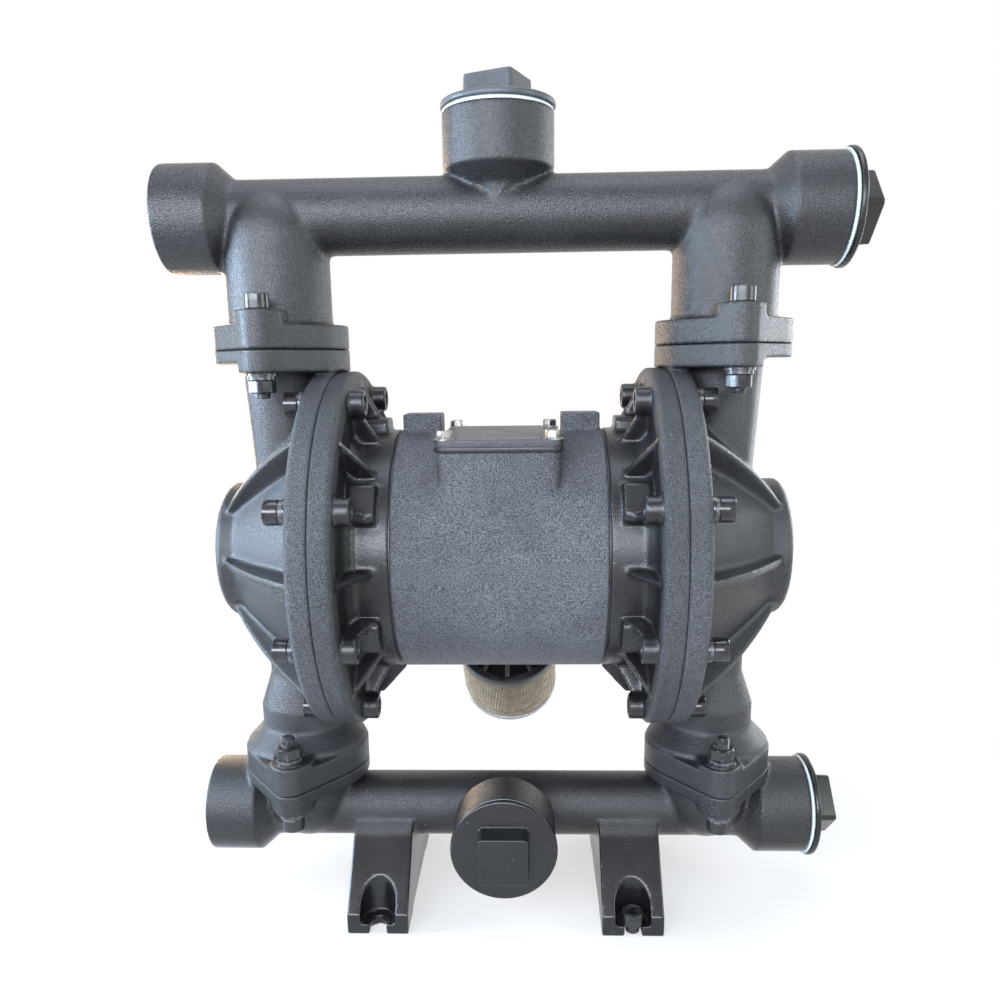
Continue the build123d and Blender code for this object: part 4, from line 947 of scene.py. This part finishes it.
class PUMP_OT_port_threads(bpy.types.Operator):
    """Cut threads in the two open ports and the air port"""

    bl_idname = "pump.port_threads"
    bl_label = "Port threads"

    def execute(self, context):
        root, crest = PORT_CREST_R + 0.5, PORT_CORE_R + 0.05
        for name, height in (("outlet_thread", OUTLET_Z), ("inlet_thread", INLET_Z)):
            place = along((1.5 - PORT_FACE_X, 0, height), (1, 0, 0))
            bore_thread(name, root, crest, sizes().pipe_pitch, PORT_DEPTH - 4, steps=72, place=place)
        root, crest = AIR_PORT_R + 0.5, AIR_PORT_R - 0.55
        place = along((0, AIR_PORT_Y - 1, AIR_PORT_Z), (0, -1, 0))
        depth = AIR_PORT_DEPTH - 3
        bore_thread("air_thread", root, crest, sizes().air_pitch, depth, steps=40, place=place)
        return {"FINISHED"}


def diaphragm_section():
    """Cut through one side of a diaphragm: (radius, distance from the pump's middle) all round it."""
    half = (CAVITY_R - FOLD_IN_R) / 2
    arc_r = (half**2 + FOLD_DEPTH**2) / 2 / FOLD_DEPTH
    face = DIAPHRAGM_X + DIAPHRAGM_THICK / 2
    steps = 16
    halfway = 35.0
    outer = [(DIAPHRAGM_HOLE_R, face), (halfway, face)]
    for step in range(steps + 1):
        apart = half * (2 * step / steps - 1)
        depth = (arc_r**2 - apart**2) ** 0.5 - (arc_r - FOLD_DEPTH)
        outer.append((FOLD_IN_R + half + apart, face - depth))
    outer.append((DIAPHRAGM_RIM_R, face))
    return outer + [(r, x - DIAPHRAGM_THICK) for r, x in reversed(outer)]


class PUMP_OT_diaphragms(bpy.types.Operator):
    """Build each diaphragm in sectors between its plates and its rim"""

    bl_idname = "pump.diaphragms"
    bl_label = "Diaphragms"

    def execute(self, context):
        count = sizes().diaphragm_sectors
        for side, node in zip(SIDES, ("left_diaphragm", "right_diaphragm")):
            for number in range(count):
                self.sector(node, side, number, 2 * pi / count)
        return {"FINISHED"}

    def sector(self, node, side, number, angle):
        """One sector of a diaphragm, with its place baked into its mesh."""
        centre = Vector((0, 0, SHAFT_Z))
        turn = Matrix.Rotation((number - 0.5) * angle, 3, "X")
        bm = bmesh.new()
        section = [turn @ Vector((side * x, 0, r)) for r, x in diaphragm_section()]
        ring = [bm.verts.new((point + centre) * MM) for point in section]
        start = bm.faces.new(ring)
        bmesh.ops.spin(
            bm,
            geom=[start, *start.edges, *ring],
            cent=centre * MM,
            axis=(1, 0, 0),
            angle=angle,
            steps=4,
        )
        bmesh.ops.remove_doubles(bm, verts=bm.verts, dist=0.002 * MM)
        bmesh.ops.recalc_face_normals(bm, faces=bm.faces)
        piece = show(f"{node}_sector_{number + 1}", bm, "rubber", [node], body=None)
        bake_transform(piece)


class PUMP_OT_chamber_bolts(bpy.types.Operator):
    """Socket head screws and washers round both chambers"""

    bl_idname = "pump.chamber_bolts"
    bl_label = "Chamber bolts"

    def execute(self, context):
        spring_x = CHAMBER_FACE_X + CHAMBER_WASHER
        bolts = gathered(socket_head(SHANK_R, shank=30.0), chamber_places(spring_x + SPRING_WASHER))
        show("chamber_bolts_black", bolts, "bolt", ["chamber_bolts"], flat_angle=28)
        washers = gathered(flat_washer(outer=9.0, thick=CHAMBER_WASHER), chamber_places(CHAMBER_FACE_X))
        show("chamber_washers_flat", washers, "bolt", ["chamber_washers"])
        springs = gathered(spring_washer(outer=8.0), chamber_places(spring_x))
        show("chamber_washers_spring", springs, "dull_bolt", ["chamber_spring_washers"])
        return {"FINISHED"}


class PUMP_OT_clamp_bolts(bpy.types.Operator):
    """Screws, nuts and washers of the four manifold clamps"""

    bl_idname = "pump.clamp_bolts"
    bl_label = "Clamp bolts"

    def execute(self, context):
        stack = FLAT_WASHER + SPRING_WASHER
        upper_nut_z = NECK_PAD_Z - stack - NUT_THICK
        lower_nut_z = COLLAR_PAD_Z + stack
        lower_head_z = SOCKET_PAD_Z - stack
        upper_tip_z = upper_nut_z - 3.5
        lower_tip_z = lower_nut_z + NUT_THICK + 7.5
        for name, head_z, tip_z, down in (
            ("upper_clamp_bolts", UPPER_HEAD_Z, upper_tip_z, False),
            ("lower_clamp_bolts", lower_head_z, lower_tip_z, True),
        ):
            shank = abs(head_z - tip_z)
            bm = socket_head(SHANK_R - 0.7, shank)
            thread_on(bm, SHANK_R, 0.3 - shank, 14 - shank, sizes().bolt_pitch)
            bolts = gathered(bm, clamp_places(head_z, down))
            show(name + "_black", bolts, "dull_bolt", [name], flat_angle=28)

        nuts = gathered(self.nut(), clamp_places(upper_nut_z) + clamp_places(lower_nut_z, turn=14))
        show("clamp_nuts_black", nuts, "dull_bolt", ["clamp_nuts"], flat_angle=24)

        heights = (NECK_PAD_Z - FLAT_WASHER, COLLAR_PAD_Z, SOCKET_PAD_Z - FLAT_WASHER)
        places = [place for height in heights for place in clamp_places(height)]
        washers = gathered(flat_washer(outer=10.0, thick=FLAT_WASHER), places)
        show("clamp_washers_flat", washers, "dull_bolt", ["clamp_washers"])

        heights = (NECK_PAD_Z - stack, COLLAR_PAD_Z + FLAT_WASHER, lower_head_z)
        places = [place for height in heights for place in clamp_places(height, turn=-60)]
        springs = gathered(spring_washer(outer=9.0), places)
        show("clamp_washers_spring", springs, "dull_bolt", ["clamp_spring_washers"])
        return {"FINISHED"}

    def nut(self):
        """Hexagon nut with its lower face on Z = 0."""
        rim = NUT_FLATS / 2
        profile = [
            (SHANK_R, 0.6),
            (5.7, 0),
            (rim - 0.4, 0),
            (rim, 0.75),
            (rim, NUT_THICK - 0.75),
            (rim - 0.4, NUT_THICK),
            (5.7, NUT_THICK),
            (SHANK_R, NUT_THICK - 0.6),
        ]
        bm = turned(profile)
        hexed(bm, rim, NUT_FLATS, tip=9.05)
        return bm


def eased(node, width, angle=25.0):
    """A crisp copy of a CAD node with its edges slightly rounded."""
    bm = copy_of(node)
    bmesh.ops.dissolve_limit(bm, angle_limit=radians(2), verts=bm.verts, edges=bm.edges)
    sharp = [e for e in bm.edges if len(e.link_faces) == 2 and e.calc_face_angle() > radians(angle)]
    bmesh.ops.bevel(
        bm,
        geom=sharp,
        offset=width * MM,
        offset_type="OFFSET",
        segments=2,
        profile=0.5,
        affect="EDGES",
        clamp_overlap=True,
        material=-1,
    )
    return bm


class PUMP_OT_valve_cover(bpy.types.Operator):
    """Valve cover with its gasket and zinc plated bolts"""

    bl_idname = "pump.valve_cover"
    bl_label = "Valve cover"

    def execute(self, context):
        plate = eased("valve_cover", width=0.5)
        show("valve_cover_plate", plate, "cover", ["valve_cover"])
        seal = eased("valve_cover_gasket", width=0.8)
        show("valve_cover_seal", seal, "rubber", ["valve_cover_gasket"])
        places = [
            along((x * COVER_BOLT_X, y, COVER_SEAT_Z), (0, 0, 1), 12 * x + 0.4 * y)
            for x in SIDES
            for y in COVER_BOLT_Y
        ]
        bolts = gathered(self.bolt(), places)
        show("valve_cover_bolts_zinc", bolts, "zinc", ["valve_cover_bolts"], flat_angle=26)
        return {"FINISHED"}

    def bolt(self):
        """M6 hexagon bolt with a flange, its bearing face on Z = 0."""
        rim = 5.4
        shank_r = 3.0
        profile = [
            (0, -COVER_SHANK),
            (shank_r - 0.4, -COVER_SHANK),
            (shank_r, 0.6 - COVER_SHANK),
            (shank_r, 0),
            (COVER_FLANGE_R - 0.1, 0),
            (COVER_FLANGE_R, 0.35),
            (COVER_FLANGE_R, 0.8),
            (6.6, 1.15),
            (5.9, 1.55),
            (rim, 1.9),
            (rim, COVER_HEAD - 0.7),
            (4.8, COVER_HEAD),
            (2.6, COVER_HEAD),
            (2.2, COVER_HEAD - 0.3),
            (0, COVER_HEAD - 0.3),
        ]
        bm = turned(profile)
        hexed(bm, rim, flats=10.0, tip=5.62)
        return bm


class PUMP_OT_port_plugs(bpy.types.Operator):
    """Four port plugs with square heads and their sealing rings"""

    bl_idname = "pump.port_plugs"
    bl_label = "Port plugs"

    plugs = {
        # The top plug takes the paler coat: the same material as the other plugs, painted light
        "top_port_plug": "matt_plug",
        "upper_right_plug": "plug",
        "lower_right_plug": "plug",
        "front_port_plug": "plug",
    }

    def execute(self, context):
        for node, look in self.plugs.items():
            show(node + "_coated", eased(node, width=0.9), look, [node])
        places = [
            along((0, 0, TOP_PORT_Z), (0, 0, 1)),
            along((PORT_FACE_X, 0, OUTLET_Z), (1, 0, 0)),
            along((PORT_FACE_X, 0, INLET_Z), (1, 0, 0)),
            along((0, FRONT_PORT_Y, INLET_Z), (0, -1, 0)),
        ]
        seals = gathered(self.seal(), places)
        show("plug_seals_white", seals, "seal", ["plug_seals"])
        return {"FINISHED"}

    def seal(self):
        """Sealing ring with a lip that shows beside the plug's flange."""
        bore, step, lip = 28.6, 35.2, 37.2
        profile = [
            (bore, 0),
            (lip - 0.3, 0),
            (lip, 0.35),
            (lip, 1.15),
            (lip - 0.3, 1.5),
            (step, 1.7),
            (step, PLUG_SEAL),
            (bore, PLUG_SEAL),
        ]
        return turned(profile, 96)


class PUMP_OT_muffler(bpy.types.Operator):
    """Exhaust muffler with a moulded base, woven wire and a steel end cap"""

    bl_idname = "pump.muffler"
    bl_label = "Muffler"

    def execute(self, context):
        base = eased("muffler_base", width=0.7)
        show("muffler_base_moulded", base, "moulding", ["muffler_base"])
        rim = eased("muffler_end_cap", width=0.5)
        show("muffler_end_rim", rim, "steel", ["muffler_end_cap"])
        paint(frame["nodes"]["muffler_mesh"].data, "backing")

        lean = radians(MUFFLER_LEAN)
        axis = Vector((0, cos(lean), -sin(lean)))
        wires = bmesh.new()
        for way in SIDES:
            add_to(wires, self.wound(way))
        bmesh.ops.recalc_face_normals(wires, faces=wires.faces)
        start = Vector((0, 0, SHAFT_Z)) + axis * MUFFLER_BASE
        bmesh.ops.transform(wires, matrix=along(start, axis), verts=wires.verts)
        show("muffler_wires", wires, "wire", [], flat_angle=180)
        return {"FINISHED"}

    def wound(self, way):
        """The wires that wind one way about Z, in waves that pass over and under the other way's."""
        steps = 44
        slope = 0.9
        wave = 0.3
        wire = sizes().mesh_wire_r / MM
        strand = bmesh.new()
        section = [(MUFFLER_R + 0.1 + wire * c, wire * s) for c, s in ((1, 0), (0, 1), (-1, 0), (0, -1))]
        bmesh.ops.spin(
            strand,
            geom=outline(strand, section),
            cent=(0, 0, 0),
            axis=(0, 0, 1),
            dvec=(0, 0, MUFFLER_LENGTH * MM / steps),
            angle=way * slope * MUFFLER_LENGTH / MUFFLER_R,
            steps=steps,
        )
        for v in strand.verts:
            height = v.co.z / MM
            push(v, 1 + wave * way * cos(height / MUFFLER_LENGTH * steps * pi) / MUFFLER_R)
        count = sizes().mesh_wires
        return gathered(strand, [Matrix.Rotation(2 * pi * step / count, 4, "Z") for step in range(count)])


class PUMP_OT_foot_screw(bpy.types.Operator):
    """Socket head screw that stands in the right foot"""

    bl_idname = "pump.foot_screw"
    bl_label = "Foot screw"

    def execute(self, context):
        bm = socket_head(SHANK_R, shank=6.5)
        place = along((FOOT_X, FOOT_SLOT_Y, FOOT_RECESS_Z), (0, 0, 1), 20)
        bmesh.ops.transform(bm, matrix=place, verts=bm.verts)
        show("foot_screw_black", bm, "bolt", ["foot_screw"], flat_angle=28)
        return {"FINISHED"}


class PUMP_OT_stage(bpy.types.Operator):
    """Pale floor, soft lamps and the camera"""

    bl_idname = "pump.stage"
    bl_label = "Stage"

    def execute(self, context):
        scene = context.scene
        scene.view_settings.view_transform = "Standard"
        self.floor(scene)
        self.world(scene)
        self.lamps(scene)
        self.camera(scene)
        return {"FINISHED"}

    def floor(self, scene):
        """White floor that keeps the pump's shadow near it."""
        bm = bmesh.new()
        bmesh.ops.create_circle(bm, cap_ends=True, segments=64, radius=6.0)
        bmesh.ops.translate(bm, verts=bm.verts, vec=(0, 0, -0.5 * MM))
        mesh = as_mesh(bm)
        floor = bpy.data.objects.new("floor", mesh)
        scene.collection.objects.link(floor)
        look = Finish("floor white")
        length = {"operation": "LENGTH"}
        apart = look.node("ShaderNodeVectorMath", length, {0: look.place()}, output="Value")
        share = look.ramp(apart, (0.20, 0.55), (0.60, 1.0)) * look.background_rays()
        look.set(Base_Color=(0.80, 0.80, 0.80, 1), Roughness=0.7)
        white = look.node("ShaderNodeEmission", inputs={0: (1, 1, 1)})
        lit = Wire(look, look.shader.outputs[0])
        shown = look.node("ShaderNodeMixShader", inputs={0: share, 1: lit, 2: white})
        look.feed(look.output.inputs[0], shown)
        mesh.materials.append(look.material)

    def world(self, scene):
        """White walls to look at, and a low fill light."""
        scene.world = bpy.data.worlds.new("studio")
        studio = Graph(scene.world)
        way = studio.node("ShaderNodeTexCoord", output="Generated")
        rise = studio.node("ShaderNodeSeparateXYZ", inputs={0: way}, output="Z")
        walls = studio.mix(studio.ramp(rise, (0.72, 0), (0.92, 1)), (1, 1, 1), (0.10, 0.11, 0.13))
        shown = studio.node("ShaderNodeBackground", inputs={0: walls, 1: 1.0})
        fill = studio.node("ShaderNodeBackground", inputs={0: (0.80, 0.88, 1.0), 1: 0.25})
        blend = studio.node("ShaderNodeMixShader", inputs={0: studio.background_rays(), 1: fill, 2: shown})
        studio.node("ShaderNodeOutputWorld", inputs={0: blend})

    def lamps(self, scene):
        """Soft lamps that all face the middle of the pump."""
        for name, place, size, power, colour in (
            ("front", (-0.45, -1.45, 0.80), (2.2, 0.5), 56, (0.82, 0.88, 1.0)),
            ("left", (-1.4, -0.15, 0.55), (0.5, 0.8), 42, (0.60, 0.78, 1.0)),
            ("right", (1.4, -0.5, 0.6), (0.5, 0.9), 9, (0.84, 1.0, 0.97)),
            ("top", (0.0, 0.0, 1.6), (1.2, 0.8), 13, (0.82, 0.90, 1.0)),
            ("warm_rim", (-0.8, 1.1, 0.35), (0.3, 0.9), 9, (1.0, 0.72, 0.48)),
            ("right_rim", (1.1, 0.9, 0.5), (0.4, 1.0), 8, (0.85, 0.93, 1.0)),
        ):
            lamp = bpy.data.lights.new(name, "AREA")
            lamp.shape = "RECTANGLE"
            lamp.size, lamp.size_y = size
            lamp.energy = power
            lamp.color = colour
            holder = bpy.data.objects.new(name, lamp)
            holder.location = place
            aim = Vector((0, 0, 0.30)) - Vector(place)
            holder.rotation_euler = aim.to_track_quat("-Z", "Y").to_euler()
            scene.collection.objects.link(holder)

    def camera(self, scene):
        """Camera at the photograph's place and angle."""
        lens = bpy.data.cameras.new("camera")
        lens.sensor_width = 36.0
        lens.lens = 31.483
        lens.shift_y = 0.0630
        lens.clip_start = 0.01
        camera = bpy.data.objects.new("camera", lens)
        turn = Matrix.Rotation(radians(-0.753), 3, "Y")
        turn = turn @ Matrix.Rotation(radians(12.775), 3, "X")
        turn = turn @ Matrix.Rotation(radians(-2.021), 3, "Z")
        facing = turn.transposed() @ Matrix.Rotation(radians(90), 3, "X")
        camera.matrix_world = Matrix.Translation((0.01980, -0.63284, 0.40630)) @ facing.to_4x4()
        scene.collection.objects.link(camera)
        scene.camera = camera


class PUMP_PT_panel(bpy.types.Panel):
    """Lists the steps that dress the pump"""

    bl_idname = "PUMP_PT_panel"
    bl_label = "Diaphragm pump"
    bl_space_type = "VIEW_3D"
    bl_region_type = "UI"
    bl_category = "Pump"

    def draw(self, context):
        for group in (context.scene.pump_sizes, context.scene.pump_colours):
            for name in group.__annotations__:
                self.layout.prop(group, name)
        for step in STEPS:
            self.layout.operator(step.bl_idname)


STEPS = (
    PUMP_OT_finishes,
    PUMP_OT_castings,
    PUMP_OT_port_threads,
    PUMP_OT_diaphragms,
    PUMP_OT_chamber_bolts,
    PUMP_OT_clamp_bolts,
    PUMP_OT_valve_cover,
    PUMP_OT_port_plugs,
    PUMP_OT_muffler,
    PUMP_OT_foot_screw,
    PUMP_OT_stage,
)
CLASSES = (PumpSizes, PumpColours, *STEPS, PUMP_PT_panel)


def register():
    for cls in CLASSES:
        bpy.utils.register_class(cls)
    bpy.types.Scene.pump_sizes = bpy.props.PointerProperty(type=PumpSizes)
    bpy.types.Scene.pump_colours = bpy.props.PointerProperty(type=PumpColours)


def unregister():
    del bpy.types.Scene.pump_colours
    del bpy.types.Scene.pump_sizes
    for cls in reversed(CLASSES):
        bpy.utils.unregister_class(cls)


def main():
    """Dress the pump."""
    register()
    for step in STEPS:
        group, name = step.bl_idname.split(".")
        getattr(getattr(bpy.ops, group), name)()


if __name__ == "__main__":
    main()
